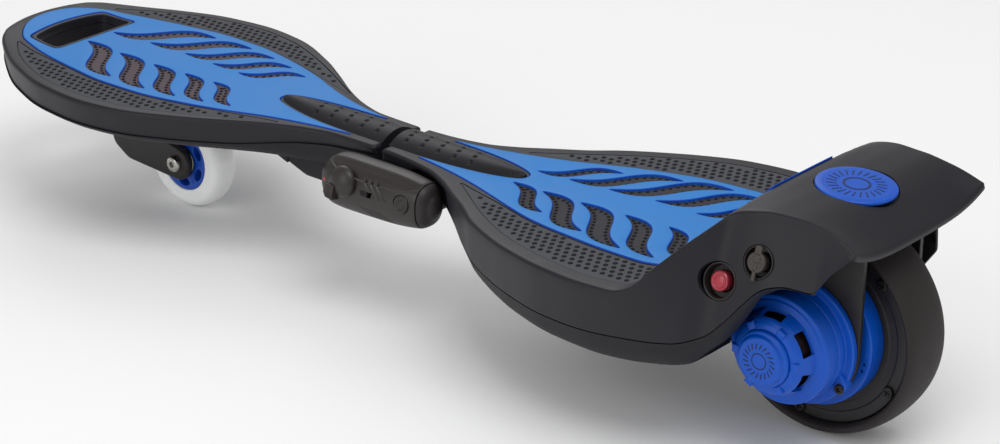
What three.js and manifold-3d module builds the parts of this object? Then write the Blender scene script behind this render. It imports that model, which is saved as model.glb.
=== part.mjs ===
// Electric caster board: two decks joined by a torsion neck, a swivel caster under the front deck,
// a geared drive wheel under the hood of the rear deck, and a hand remote docked at the neck.
// Millimetres, +X to the nose, +Y to the rider's left, +Z up, wheels standing on z = 0.
// Stations along the decks are counted from the middle of the split between them.
import * as THREE from 'three';
import { mergeVertices } from 'three/addons/utils/BufferGeometryUtils.js';
import Module from 'manifold-3d';

const wasm = await Module();
wasm.setup();

// Driving sizes
const frontLength = 382;
const rearLength = 424.5;
const frontHalfWidth = 103.5;
const rearHalfWidth = 120;
const splitGap = 6.5;
const deckHeight = 107;
const noseRise = 10;
const crestRise = 65.4;
const noseBulge = 10.3;
const wall = 2.6;
const skin = 5.2;
const rimRound = 2.2;
const fit = 0.35;
const overrun = 8;
const weld = 1e-4;

// Deck outlines: station as a share of the deck's length, then a share of the size it follows
const frontRimShares = [
  [0, 0.242], [0.105, 0.256], [0.17, 0.319], [0.23, 0.425], [0.309, 0.609], [0.382, 0.768],
  [0.505, 0.957], [0.597, 1], [0.702, 0.961], [0.819, 0.816], [0.919, 0.609], [0.958, 0.49], [0.973, 0.405],
];
const frontRiseShares = [[0, 0], [0.17, 0.1], [0.309, 0.25], [0.6, 0.4], [0.85, 0.5], [0.93, 0.72],
  [0.973, 1]];
const frontWallShares = [[0, 0.235], [0.17, 0.4], [0.309, 0.6], [0.85, 0.62], [0.973, 0.4]];
const frontDepthShares = [[0, 1], [0.17, 0.97], [0.309, 0.93], [0.85, 0.95], [0.94, 0.75], [0.973, 0.55]];
const frontFootShares = [[0, 0.68], [0.17, 0.66], [0.309, 0.68], [0.505, 0.74], [0.85, 0.72], [0.973, 0.6]];
const rearRimShares = [
  [0, 0.208], [0.05, 0.22], [0.123, 0.267], [0.17, 0.342], [0.217, 0.45], [0.265, 0.558], [0.312, 0.683],
  [0.371, 0.796], [0.429, 0.883], [0.517, 0.971], [0.594, 1], [0.649, 0.992], [0.681, 0.971], [0.71, 0.917],
  [0.74, 0.817], [0.771, 0.717], [0.797, 0.642], [0.832, 0.629], [0.861, 0.61], [0.898, 0.596],
  [0.94, 0.59], [0.967, 0.597], [1, 0.62],
];
const rearRiseShares = [
  [0, 0], [0.123, -0.008], [0.265, -0.008], [0.371, 0.008], [0.517, 0.046], [0.594, 0.053], [0.649, 0.061],
  [0.681, 0.13], [0.71, 0.336], [0.74, 0.55], [0.771, 0.749], [0.797, 0.902], [0.832, 0.973], [0.861, 1],
  [0.898, 1], [0.94, 0.97], [0.967, 0.927], [1, 0.833],
];
const rearCrownShares = [
  [0, 0], [0.681, 0], [0.771, 0.02], [0.797, 0.05], [0.832, 0.006], [0.861, -0.018], [0.898, -0.03],
  [0.94, -0.062], [0.967, -0.115], [1, -0.156],
];
const rearFootShares = [
  [0, 0.2], [0.123, 0.258], [0.17, 0.333], [0.217, 0.43], [0.265, 0.54], [0.312, 0.66], [0.371, 0.775],
  [0.429, 0.862], [0.517, 0.95], [0.594, 0.975], [0.681, 0.95], [0.75, 0.9], [0.785, 0.828], [0.82, 0.79],
  [0.861, 0.742], [0.9, 0.705], [0.94, 0.672], [0.97, 0.648], [1, 0.622],
];
const rearPartingShares = [
  [0, 0.935], [0.123, 0.92], [0.17, 0.87], [0.217, 0.8], [0.265, 0.72], [0.312, 0.71], [0.517, 0.715],
  [0.594, 0.724], [0.681, 0.75], [0.75, 0.785], [0.787, 0.841], [0.82, 0.972], [0.844, 1.093],
  [0.863, 1.178],
  [0.879, 1.215], [0.905, 1.238], [0.94, 1.229], [0.962, 1.341], [1, 1.503],
];
const tubBottomShares = [
  [0, 0.72], [0.15, 0.72], [0.217, 0.64], [0.265, 0.57], [0.312, 0.53], [0.371, 0.495], [0.429, 0.467],
  [0.517, 0.453], [0.594, 0.453], [0.649, 0.467], [0.681, 0.486], [0.735, 0.533], [0.771, 0.654],
  [0.811, 0.794], [0.844, 0.953], [0.879, 1.09], [0.905, 1.13], [0.94, 1.13],
];
const tubCornerShares = [[1, 0], [0.955, 0.42], [0.86, 0.76], [0.7, 1]];
const neckCornerShares = [[1, 0], [0.93, 0.3], [0.8, 0.68], [0.66, 1]];
const neckEndShare = 0.15;
const crownPower = 3.5;
const frontDepth = 30;
const acrossShares = [1, 0.65, 0, -0.65, -1];
const kneeShares = [0.4, 0.62];
const lipShare = 0.2;
const hullNoseShare = 0.6;

// Grip surfaces of the decks
const grip = { insertThick: 1.8, insertProud: 0.8, rampProud: 2.2, matThick: 1.5 };
const rampShares = [0.7, 0.8];
const frontInsertShares = [
  [0.081, 0.183], [0.16, 0.24], [0.24, 0.323], [0.336, 0.459], [0.43, 0.56], [0.533, 0.627], [0.62, 0.635],
  [0.72, 0.59], [0.82, 0.523], [0.9, 0.44], [0.944, 0.37],
];
const frontPadShares = [
  [0.223, 0.374], [0.309, 0.55], [0.382, 0.69], [0.44, 0.785], [0.505, 0.868], [0.597, 0.912],
  [0.702, 0.872], [0.79, 0.77], [0.872, 0.61], [0.91, 0.492],
];
const rearInsertShares = [
  [0.078, 0.153], [0.132, 0.198], [0.2, 0.255], [0.27, 0.334], [0.331, 0.415], [0.387, 0.4825],
  [0.46, 0.54],
  [0.54, 0.58], [0.62, 0.59], [0.66, 0.56], [0.7, 0.47], [0.74, 0.375], [0.795, 0.27],
];
const rearPadShares = [
  [0.203, 0.303], [0.25, 0.42], [0.312, 0.57], [0.371, 0.69], [0.429, 0.78], [0.517, 0.87], [0.594, 0.9],
  [0.62, 0.885], [0.66, 0.86], [0.7, 0.75], [0.74, 0.6], [0.795, 0.38],
];
// Wave windows: inner tip then outer tip, each as station share and half-width share
const frontWindowShares = [
  [0.814, 0.126, 0.628, 0.531], [0.712, 0.15, 0.53, 0.541], [0.614, 0.155, 0.457, 0.502],
  [0.531, 0.14, 0.397, 0.444], [0.457, 0.126, 0.342, 0.377],
];
const rearWindowShares = [
  [0.267, 0.108, 0.384, 0.367], [0.328, 0.117, 0.484, 0.4625], [0.408, 0.125, 0.57, 0.517],
  [0.497, 0.133, 0.633, 0.508], [0.577, 0.125, 0.68, 0.425],
];
const windowThickShare = 0.1;
const windowBendShare = 0.075;
const windowSwell = 0.8;
const windowSteps = 5;

// Where things stand along the decks, as shares of a deck's length
const frontPlaceShares = {
  spine: 0.3, slotBack: 0.8325, slotFront: 0.9058, tube: 0.2304, bush: 0.2251, bulgeStart: 0.1414,
  bulgeFlat: 0.199, bulgeEnd: 0.3141, pivot: 0.7139,
};
const rearPlaceShares = {
  spine: 0.2671, tube: 0.1932, clampNear: 0.0377, clampFar: 0.1366, axle: 0.8511, batteryFront: 0.3416,
  boardFront: 0.245, boardBack: 0.3204, emblem: 0.8869, power: 0.7962, port: 0.8535,
  dockFront: 0.0518, dockBack: 0.1319,
};
const placeFront = (name) => frontLength * frontPlaceShares[name];
const placeRear = (name) => rearLength * rearPlaceShares[name];

const saddleShare = 0.1125;
const batteryShare = 0.45;
const batteryGap = 17.8;

// Spine covers over the torsion neck
const spine = {
  frontLength: placeFront('spine'), rearLength: placeRear('spine'), halfWidth: 17.5, height: 6.2, seat: 1.8,
};
const spineSteps = [0, 0.35, 0.62, 0.8, 0.92, 1];
const archShares = [1, 0.6, 0, -0.6, -1];
const spineTaperShares = [[0, 1], [0.25, 0.995], [0.5, 0.93], [0.7, 0.78], [0.85, 0.57], [0.95, 0.32],
  [1, 0.07]];

// Carrying slot in the nose
const bowShares = [-0.6, -0.3, 0, 0.3, 0.6];
const slot = {
  back: placeFront('slotBack'), front: placeFront('slotFront'), halfWidth: 35, corner: 7, bow: 6, lip: 3,
  lipProud: 0.5,
};

// Torsion neck
const torsion = {
  height: 90.5, tubeRadius: 9, tubeBore: 7.2, tubeFront: placeFront('tube'), tubeBack: placeRear('tube'),
  barSide: 9, barOverhang: 6, bushRadius: 10.6, bushBack: 12, bushFront: placeFront('bush'),
  saddleHalf: rearHalfWidth * saddleShare,
  saddleTop: 100.9, saddleLow: 82.2, clampLength: 18, clampNear: placeRear('clampNear'),
  clampFar: placeRear('clampFar'), bulgeStart: placeFront('bulgeStart'), bulgeEnd: placeFront('bulgeEnd'),
  bulgeFlat: placeFront('bulgeFlat'), bulgeHalf: 21, bulgeDrop: 14, bulgeRound: 6, bulgeTop: 86, keel: 2,
};

// Front caster
const casterTrail = 59;
const caster = {
  axleStation: placeFront('pivot') - casterTrail, radius: 38, halfWidth: 12, crown: 4.5,
  hubRadius: 23.4, hubHalf: 11, seatRadius: 11,
  pivotStation: placeFront('pivot'), pivotHeight: 69, crownRadius: 22, bearingHeight: 3, bearingBore: 8,
  wedgeRadius: 25, forkHalf: 19, armThick: 5, armEnd: 13.5, kingpinRadius: 5, kingpinHead: 9,
  kingpinHeadHeight: 5, crownThick: 10, kingpinReach: 12.5, boltRadius: 4, boltHead: 6, boltHeadHeight: 3.6,
  bossRadius: 7.5, webBore: 6.4, bearingWidth: 7, holeRadius: 2.6, holePitch: 17.2, holeStretch: 4,
};
const crownShares = [0.86, 0.5];
const forkShares = [0.8, 0.9, 0.38, 0.3, 0.7];
const rakeAngle = Math.PI / 6;
const hubHoles = 6;

// Drive wheel
const drive = {
  axleStation: -placeRear('axle'), radius: 73.5, centre: -4.5, halfWidth: 22, shoulder: 15,
  rimRadius: 65, hubHalf: 14.5,
  hubWall: 4, rimThick: 8.5, screwShank: 1.5, screwRadius: 3.8, screwPitch: 60.5, screwHead: 2,
  flangeRadius: 50, flangeFace: 24, flangeWall: 2.4, flangeBore: 31, gearDepth: 9, axleRadius: 6,
  headRadius: 10, headHeight: 6, beadInset: 3,
  bearingRadius: 14, bearingWidth: 8,
};
const gears = { module: 2.1, backlash: 0.4, pinRadius: 3.4 };
const toothShares = [0.36, 0.14];
const shoulderShares = [0, 0.4, 0.75, 1];
const pinionTeeth = 8;
const planetTeeth = 16;
const ringTeeth = 40;
const planetCount = 3;
const hubScrewCount = 5;
const hubScrewTurn = (65 * Math.PI) / 180;
const arch = { gap: 8, halfWidth: 39, motorGap: 5 };
const yoke = {
  plateThick: 3.6, inside: 28.4, farGap: 3.9, backReach: 44, topHeight: 155.4, webThick: 3.4,
  frontReach: 40, frontTop: 132, webFront: 21, bottomRadius: 43, bore: 6, postRadius: 5, postBack: 32,
  postFront: 15, postSide: 19, boltRadius: 2.6,
};
// How far the motor's steps reach to the left, as shares of the rear deck's half-width
const motorReachShares = {
  drumEnd: 0.458, shoulderEnd: 0.55, neckStart: 0.576, neckEnd: 0.596, capEnd: 0.642, canEnd: 0.525,
};
const reachMotor = (name) => rearHalfWidth * motorReachShares[name];
const motor = {
  flangeRadius: 42.5, flangeThick: 4.2, drumRadius: 37, drumEnd: reachMotor('drumEnd'), stepRadius: 33.5,
  shoulderRadius: 29, shoulderEnd: reachMotor('shoulderEnd'), neckRadius: 21.8,
  neckStart: reachMotor('neckStart'), neckEnd: reachMotor('neckEnd'), capRadius: 18,
  capEnd: reachMotor('capEnd'), shell: 2.4, canRadius: 24, canEnd: reachMotor('canEnd'), shaftRadius: 3,
  shaftGrip: 5, ventHigh: 9, ventLong: 4.5, ventDeep: 12, lugReach: 45, lugHalf: 7, lugHeight: 7,
  headRadius: 3.3, headHeight: 2,
};
const ventCount = 6;
const remoteSides = 16;
const remoteSquareness = 0.84;
const controlLean = 0.25;
const lugTurns = [0.55, 2.15, 4.2].map((share) => Math.PI - share);

// Rear case contents
const battery = {
  front: placeRear('batteryFront'), back: placeRear('axle') - drive.radius - arch.gap - batteryGap,
  halfWidth: rearHalfWidth * batteryShare, bottom: 59.5, top: 97,
};
const board = {
  front: placeRear('boardFront'), back: placeRear('boardBack'), halfWidth: 26, bottom: 69, top: 81,
};
const rib = { thick: 3, halfWidth: 40, boardHalf: 24, inset: 28 };
const emblem = {
  station: -placeRear('emblem'), radius: 26, proud: 0.6, pocket: 2.3, grooveRadius: 16, groove: 2,
};
const hoodSkin = 4.2;
const emblemTilt = 0.09;

// Switch and charging port, on the left panel of the hood
const panelTilt = 0.315;
const power = {
  station: -placeRear('power'), height: 125, bezel: 12, bezelBore: 8.4, button: 6.6, buttonLong: 7.8,
  top: -1.1, inset: 3.4, guideDeep: 4.6, depth: 13,
};
const port = {
  station: -placeRear('port'), height: 142.5, recess: 10.5, lip: 1.2, dish: 4, socket: 6, rise: 1,
  hole: 3, holeDeep: 9,
  depth: 14, cap: 7, tabLift: 0.9, tabHalf: 2.4, tabReach: 10.5, tailReach: 11.5, tabThick: 1.8,
};

// Hand remote beside the neck
const remote = {
  front: 35.5, back: -75.5, side: 45.5, height: 86.8, halfThick: 17, halfHeight: 19.5, seam: -64.5,
  shell: 2.2,
  gap: 4.2, partBack: 6, dialStation: -1.3, dialRise: 6.6, dialRadius: 10.5, dialHeight: 4, dialGap: 0.7,
  stemRadius: 5, leverLength: 15, leverHalf: 2.2, leverDrop: 5, sliderStation: -20, sliderRise: 2.2,
  sliderLong: 6,
  sliderHigh: 3.4, sliderProud: 1.4, sliderTravel: 3, buttonStation: -53, buttonRise: 2.7,
  buttonRadius: 6.3,
  buttonProud: 1, cellRadius: 7.2, cellLong: 48, ribInset: 10, capTravel: 3.5,
};
const faceShare = 0.97;
const dialShare = 0.75;
const remoteShares = [
  [0, 0.52], [0.03, 0.72], [0.12, 0.96], [0.25, 1], [0.62, 0.98], [0.9, 0.85], [0.955, 0.72], [1, 0.38],
];
const dock = {
  front: -placeRear('dockFront'), back: -placeRear('dockBack'), thick: 2.4, plate: 2.8, inner: -11,
  riser: 8,
};
const cradleShares = [0.86, 0.945, 1.03, 1.115, 1.2, 1.285, 1.37, 1.455];

const splitHalf = splitGap / 2;

// A smooth reading of a table of shares: cubic pieces whose slopes never overshoot
function along(table, u) {
  const last = table.length - 1;
  if (u <= table[0][0]) return table[0][1];
  if (u >= table[last][0]) return table[last][1];
  let i = 0;
  while (u > table[i + 1][0]) i += 1;
  const rise = (k) => (table[k + 1][1] - table[k][1]) / (table[k + 1][0] - table[k][0]);
  const slope = (k) => {
    if (k === 0) return rise(0);
    if (k === last) return rise(last - 1);
    const before = rise(k - 1);
    const after = rise(k);
    return before * after <= 0 ? 0 : (2 * before * after) / (before + after);
  };
  const width = table[i + 1][0] - table[i][0];
  const t = (u - table[i][0]) / width;
  const t2 = t * t;
  const t3 = t2 * t;
  return table[i][1] * (2 * t3 - 3 * t2 + 1) + table[i + 1][1] * (3 * t2 - 2 * t3)
    + width * (slope(i) * (t3 - 2 * t2 + t) + slope(i + 1) * (t3 - t2));
}

// Heights and half-widths of the two decks at a station
function frontRim(s) {
  return frontHalfWidth * along(frontRimShares, s / frontLength);
}
function frontTop(s) {
  return deckHeight + noseRise * along(frontRiseShares, s / frontLength);
}
function noseReach(s, y) {
  const start = 0.72;
  const end = frontRimShares[frontRimShares.length - 1][0];
  const t = Math.min(Math.max((s / frontLength - start) / (end - start), 0), 1);
  return noseBulge * t * t * (1 - (y / frontRim(s)) ** 2);
}
function rearRim(s) {
  return rearHalfWidth * along(rearRimShares, -s / rearLength);
}
function rearEdge(s) {
  return deckHeight + crestRise * along(rearRiseShares, -s / rearLength);
}
function rearTop(s, y) {
  const crown = crestRise * along(rearCrownShares, -s / rearLength);
  return rearEdge(s) + crown * (1 - Math.min(Math.abs(y / rearRim(s)), 1) ** crownPower);
}
function rearFoot(s) {
  return rearHalfWidth * along(rearFootShares, -s / rearLength);
}
function rearParting(s) {
  return deckHeight * along(rearPartingShares, -s / rearLength);
}
function tubBottom(s) {
  return deckHeight * along(tubBottomShares, -s / rearLength);
}
// The hood's left panel: half-width of the wall at a station and height
function panelSide(s, z) {
  const share = (z - rearParting(s)) / (rearEdge(s) - rearParting(s));
  return rearFoot(s) + (rearRim(s) - rearFoot(s)) * share;
}

// Solids from three.js geometry
function solid(geometry) {
  const bare = geometry.index ? geometry.toNonIndexed() : geometry.clone();
  bare.deleteAttribute('normal');
  bare.deleteAttribute('uv');
  const merged = mergeVertices(bare, weld);
  const points = merged.attributes.position.array;
  const kept = [];
  let volume = 0;
  for (let i = 0; i < merged.index.count; i += 3) {
    const [a, b, c] = [0, 1, 2].map((k) => merged.index.array[i + k]);
    if (a === b || b === c || a === c) continue;
    kept.push(a, b, c);
    const corner = (k) => new THREE.Vector3().fromArray(points, 3 * k);
    volume += corner(a).dot(corner(b).cross(corner(c)));
  }
  if (volume < 0) kept.reverse();
  return new wasm.Manifold(new wasm.Mesh({
    numProp: 3, vertProperties: new Float32Array(points), triVerts: new Uint32Array(kept),
  }));
}

// A closed body through rings of equal count; each end is closed by rungs across its ring
function loft(rings) {
  const count = rings[0].length;
  const indices = [];
  for (let r = 0; r + 1 < rings.length; r += 1) {
    for (let i = 0; i < count; i += 1) {
      const a = r * count + i;
      const b = r * count + ((i + 1) % count);
      indices.push(a, b, a + count, b, b + count, a + count);
    }
  }
  const last = (rings.length - 1) * count;
  for (let i = 0; i + 1 < count - 1 - i; i += 1) {
    const j = count - 1 - i;
    indices.push(i, j, i + 1, last + i, last + i + 1, last + j);
    if (i + 1 < j - 1) indices.push(i + 1, j, j - 1, last + i + 1, last + j - 1, last + j);
  }
  const geometry = new THREE.BufferGeometry();
  geometry.setAttribute('position', new THREE.Float32BufferAttribute(rings.flat(2), 3));
  geometry.setIndex(indices);
  return solid(geometry);
}

// An outline in x and y, standing from one height to another
function prism(outline, low, high) {
  const shape = new THREE.Shape(outline.map(([x, y]) => new THREE.Vector2(x, y)));
  const body = new THREE.ExtrudeGeometry(shape, { depth: high - low, bevelEnabled: false });
  return solid(body.translate(0, 0, low));
}

// An outline in x and z, running from one side to another
function plate(outline, right, left) {
  const shape = new THREE.Shape(outline.map(([x, z]) => new THREE.Vector2(x, z)));
  const body = new THREE.ExtrudeGeometry(shape, { depth: left - right, bevelEnabled: false });
  return solid(body.rotateX(Math.PI / 2).translate(0, left, 0));
}

function block([x0, x1], [y0, y1], [z0, z1]) {
  const body = new THREE.BoxGeometry(x1 - x0, y1 - y0, z1 - z0);
  return solid(body.translate((x0 + x1) / 2, (y0 + y1) / 2, (z0 + z1) / 2));
}

// A turned body about an axis along y through (x, z); its profile is pairs of radius and y
function turned(profile, x, z, sides) {
  const points = profile.map(([r, y]) => new THREE.Vector2(r, y));
  return solid(new THREE.LatheGeometry(points, sides).translate(x, 0, z));
}

// Two ball bearings on a common spacer sleeve, about a middle plane
function bearingPair(inner, outer, width, half, middle, x, z) {
  const sleeve = inner + (outer - inner) / 4;
  const side = [[inner, half], [outer, half], [outer, half - width], [sleeve, half - width]];
  const profile = [...side, ...side.slice().reverse().map(([r, y]) => [r, -y]), side[0]];
  return turned(profile.map(([r, y]) => [r, y + middle]), x, z, 16);
}

function ringProfile(inner, outer, right, left) {
  return [[inner, right], [outer, right], [outer, left], [inner, left], [inner, right]];
}

function discProfile(radius, right, left) {
  return [[0, right], [radius, right], [radius, left], [0, left]];
}

// A cylinder along x
function rod(radius, back, front, y, z, sides) {
  const body = new THREE.CylinderGeometry(radius, radius, front - back, sides);
  return solid(body.rotateZ(Math.PI / 2).translate((front + back) / 2, y, z));
}

// A turned body in a frame of its own: its axis is the frame's y axis
function turnedIn(frame, profile, sides) {
  const points = profile.map(([r, y]) => new THREE.Vector2(r, y));
  return solid(new THREE.LatheGeometry(points, sides).applyMatrix4(frame));
}

function boxIn(frame, size, centre) {
  return solid(new THREE.BoxGeometry(...size).translate(...centre).applyMatrix4(frame));
}

// Points on a circle about (x, z), from one angle to another
function arc(x, z, radius, from, to, steps) {
  const at = (k) => from + ((to - from) * k) / steps;
  return Array.from({ length: steps + 1 }, (_, k) => [x + radius * Math.cos(at(k)),
    z + radius * Math.sin(at(k))]);
}

const casterBoard = new THREE.Group();
casterBoard.position.x = (drive.radius - drive.axleStation - frontLength) / 2;

function addPiece(name, body, [color, roughness, metalness]) {
  const mesh = body.getMesh();
  const geometry = new THREE.BufferGeometry();
  geometry.setAttribute('position', new THREE.BufferAttribute(new Float32Array(mesh.vertProperties), 3));
  geometry.setIndex(new THREE.BufferAttribute(new Uint32Array(mesh.triVerts), 1));
  geometry.computeVertexNormals();
  const piece = new THREE.Mesh(geometry, new THREE.MeshStandardMaterial({ color, roughness, metalness }));
  piece.name = name;
  casterBoard.add(piece);
}

// Colour, roughness and metalness of each material
const caseBlack = ['#3b3a40', 0.62, 0];
const deckBlue = ['#4180c4', 0.5, 0];
const driveBlue = ['#1c4da6', 0.42, 0];
const padGrey = ['#6a6a70', 0.85, 0];
const rubberBlack = ['#353033', 0.8, 0];
const hubBlack = ['#262425', 0.55, 0];
const castBlack = ['#2e2a29', 0.6, 0.2];
const wheelWhite = ['#d4d6d3', 0.4, 0];
const steel = ['#b9b7b2', 0.3, 0.9];
const darkSteel = ['#3c3b3d', 0.45, 0.7];
const remoteGrey = ['#4a4445', 0.6, 0];
const signalRed = ['#c3394a', 0.35, 0];
const nylon = ['#d8d4c6', 0.55, 0];
const copper = ['#8d6b4c', 0.5, 0.5];
const cellBlue = ['#2f5c8f', 0.5, 0];
const boardGreen = ['#2c3b33', 0.5, 0.2];

// Rings across the decks, each a list of points at one station
function mirrored(ring) {
  return ring.slice().reverse().map(([x, y, z]) => [x, -y, z]);
}

function frontParting(s) {
  return frontTop(s) - frontDepth * along(frontWallShares, s / frontLength);
}

function hullFloor(s) {
  return frontTop(s) - frontDepth * along(frontDepthShares, s / frontLength);
}

function frontRing(s, inset, roof, foot) {
  const half = frontRim(s) - inset;
  const low = frontParting(s) - foot;
  const top = frontTop(s) - roof;
  const reach = half - rimRound;
  const across = acrossShares.map((v) => [s + noseReach(s, v * reach), v * reach, top]);
  const side = [[s, half, low], [s, half, top - rimRound]];
  return [...side, ...across, ...side.reverse().map(([x, y, z]) => [x, -y, z])];
}

function hullRing(s, inset, roof) {
  const half = frontRim(s) - inset;
  const high = frontParting(s) - fit;
  const low = hullFloor(s) + inset;
  const foot = half * along(frontFootShares, s / frontLength);
  const knee = [half + (foot - half) * kneeShares[0], high + (low - high) * kneeShares[1]];
  const side = [[half, high + roof], [half, high - inset * lipShare], knee, [foot, low]]
    .map(([y, z]) => [s + noseReach(s, y) * hullNoseShare, y, z]);
  return [...side, [s + noseReach(s, 0) * hullNoseShare, 0, low], ...mirrored(side)];
}

function rearRing(s, inset, roof, foot) {
  const half = rearRim(s) - inset;
  const low = rearParting(s);
  const top = rearEdge(s) - roof;
  const reach = half - rimRound;
  const lean = (rearFoot(s) - inset - half) / Math.max(top - low, wall);
  const footHalf = rearFoot(s) - inset + foot * lean;
  const above = acrossShares.map((v) => [s, v * reach, rearTop(s, v * reach) - roof]);
  const under = (v) => Math.min(low, rearTop(s, v * reach) - roof - skin) - foot;
  const below = acrossShares.map((v) => [s, v * (footHalf - weld), under(v)]);
  return [
    [s, half, top - rimRound], ...above, [s, -half, top - rimRound],
    [s, -footHalf, low - foot], ...below.reverse(), [s, footHalf, low - foot],
  ];
}

function tubRing(s, inset, roof) {
  const foot = rearFoot(s) - inset;
  const high = rearParting(s) - fit;
  const low = tubBottom(s) + inset;
  const blend = Math.min(Math.max((-s / rearLength - neckEndShare) / neckEndShare, 0), 1);
  const side = tubCornerShares.map(([a, b], k) => {
    const [neckA, neckB] = neckCornerShares[k];
    return [s, foot * (neckA + (a - neckA) * blend), high + (low - high) * (neckB + (b - neckB) * blend)];
  });
  const ring = [[s, foot, high + roof], ...side];
  return [...ring, [s, 0, low], ...mirrored(ring)];
}

// Stations of a table between two ends, counted forwards or backwards from the split
function stations(table, length, from, to) {
  const [low, high] = [Math.min(from, to) + fit, Math.max(from, to) - fit];
  return [from, ...table.map(([u]) => u * length).filter((s) => s > low && s < high), to];
}

function frontSkin(s, y, lift) {
  return [s + noseReach(s, y), y, frontTop(s) + lift];
}

function rearSkin(s, y, lift) {
  return [s, y, rearTop(s, y) + lift];
}

// What the grip pieces of a deck need to know about it
const frontDeck = {
  length: frontLength, width: frontHalfWidth, top: frontSkin, insertTable: frontInsertShares,
  padTable: frontPadShares, windows: frontWindowShares, spineLength: spine.frontLength, sign: 1,
};
const rearDeck = {
  length: -rearLength, width: rearHalfWidth, top: rearSkin, insertTable: rearInsertShares,
  padTable: rearPadShares, windows: rearWindowShares, spineLength: spine.rearLength, sign: -1,
};

// A slab that follows a deck's top, between two lifts above it
function slab(deck, table, grow, low, high) {
  const lengths = table.map(([u]) => u * deck.length);
  lengths[0] -= deck.sign * grow;
  lengths[lengths.length - 1] += deck.sign * grow;
  return loft(lengths.map((s) => {
    const half = deck.width * along(table, s / deck.length) + grow;
    const above = acrossShares.map((v) => deck.top(s, v * half, high(s)));
    return [...above, ...acrossShares.slice().reverse().map((v) => deck.top(s, v * half, low))];
  }));
}

// A wave window: a bent leaf between its two tips
function waveOutline([innerU, innerV, outerU, outerV], deck, side) {
  const from = new THREE.Vector2(innerU * deck.length, innerV * deck.width * side);
  const to = new THREE.Vector2(outerU * deck.length, outerV * deck.width * side);
  const run = to.clone().sub(from);
  const normal = new THREE.Vector2(-run.y, run.x).multiplyScalar(side);
  const point = (t, edge) => {
    const swell = windowThickShare * Math.sin(Math.PI * t) ** windowSwell * edge;
    const bend = windowBendShare * Math.sin(2 * Math.PI * t);
    const place = from.clone().addScaledVector(run, t).addScaledVector(normal, swell + bend);
    return [place.x, place.y];
  };
  const steps = Array.from({ length: windowSteps + 1 }, (_, k) => k / windowSteps);
  return [...steps.map((t) => point(t, 1)), ...steps.slice(1, -1).reverse().map((t) => point(t, -1))];
}

function cutWindows(body, deck) {
  let cut = body;
  for (const side of [1, -1]) {
    for (const shares of deck.windows) {
      cut = cut.subtract(prism(waveOutline(shares, deck, side), 0, 2 * deckHeight));
    }
  }
  return cut;
}

// Half-width of a spine cover at a station
function spineHalf(s, deck, grow) {
  return spine.halfWidth * along(spineTaperShares, Math.abs(s) / deck.spineLength) + grow;
}

// A spine cover: arched across, tapering to its tip, seated a little into the deck
function spineCover(deck) {
  const low = deckHeight - spine.seat + fit;
  return loft(spineSteps.map((share) => {
    const s = deck.sign * (splitHalf + (deck.spineLength - splitHalf) * share);
    const half = spineHalf(s, deck, 0);
    const rise = spine.height * Math.sqrt(half / spine.halfWidth);
    const above = archShares.map((v) => [s, v * half, deck.top(s, 0, rise * (1 - v * v))[2]]);
    return [...above, [s, -half, low], [s, half, low]];
  }));
}

// Plan outline of a spine cover
function spineOutline(deck, grow) {
  const reach = deck.spineLength + grow;
  const edge = spineSteps.map((u) => [deck.sign * u * reach, spineHalf(u * deck.spineLength, deck, grow)]);
  return [...edge, ...edge.slice().reverse().map(([s, y]) => [s, -y])];
}

// Carrying slot outline: straight back edge, bowed front edge, round corners
function slotOutline(grow) {
  const [back, front, half] = [slot.back - grow, slot.front + grow, slot.halfWidth + grow];
  const r = slot.corner;
  const turn = Math.PI / 2;
  const bowed = bowShares.map((v) => [front + slot.bow * (1 - v * v), v * half]);
  return [
    ...arc(back + r, r - half, r, -2 * turn, -turn, 3), ...arc(front - r, r - half, r, -turn, 0, 3),
    ...bowed, ...arc(front - r, half - r, r, 0, turn, 3), ...arc(back + r, half - r, r, turn, 2 * turn, 3),
  ];
}

function slotThrough(grow) {
  return prism(slotOutline(grow), 0, 2 * deckHeight);
}

const insertLow = grip.insertProud - grip.insertThick;
const matTop = insertLow - fit;
const matBase = matTop - grip.matThick;

// The shallow recess in a deck's top that takes the insert and the mat
function gripRecess(deck) {
  const recess = (table) => slab(deck, table, fit, matBase - fit, () => overrun);
  const spineSeat = prism(spineOutline(deck, fit), deckHeight - spine.seat, 2 * deckHeight);
  return recess(deck.padTable).add(recess(deck.insertTable)).add(spineSeat);
}

function makeFrontShell() {
  const nose = frontRimShares[frontRimShares.length - 1][0] * frontLength;
  const outer = stations(frontRimShares, frontLength, splitHalf, nose);
  const inner = stations(frontRimShares, frontLength, splitHalf + wall, nose - 2 * wall);
  const lip = prism(slotOutline(slot.lip), deckHeight - skin, frontTop(slot.front) + slot.lipProud);
  const shell = loft(outer.map((s) => frontRing(s, 0, 0, 0)))
    .subtract(loft(inner.map((s) => frontRing(s, wall, skin, overrun))))
    .subtract(rod(torsion.bushRadius + fit, -overrun, frontLength / 2, 0, torsion.height, 20))
    .subtract(gripRecess(frontDeck)).add(lip).subtract(slotThrough(0));
  addPiece('front_shell', shell, caseBlack);
}

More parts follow.
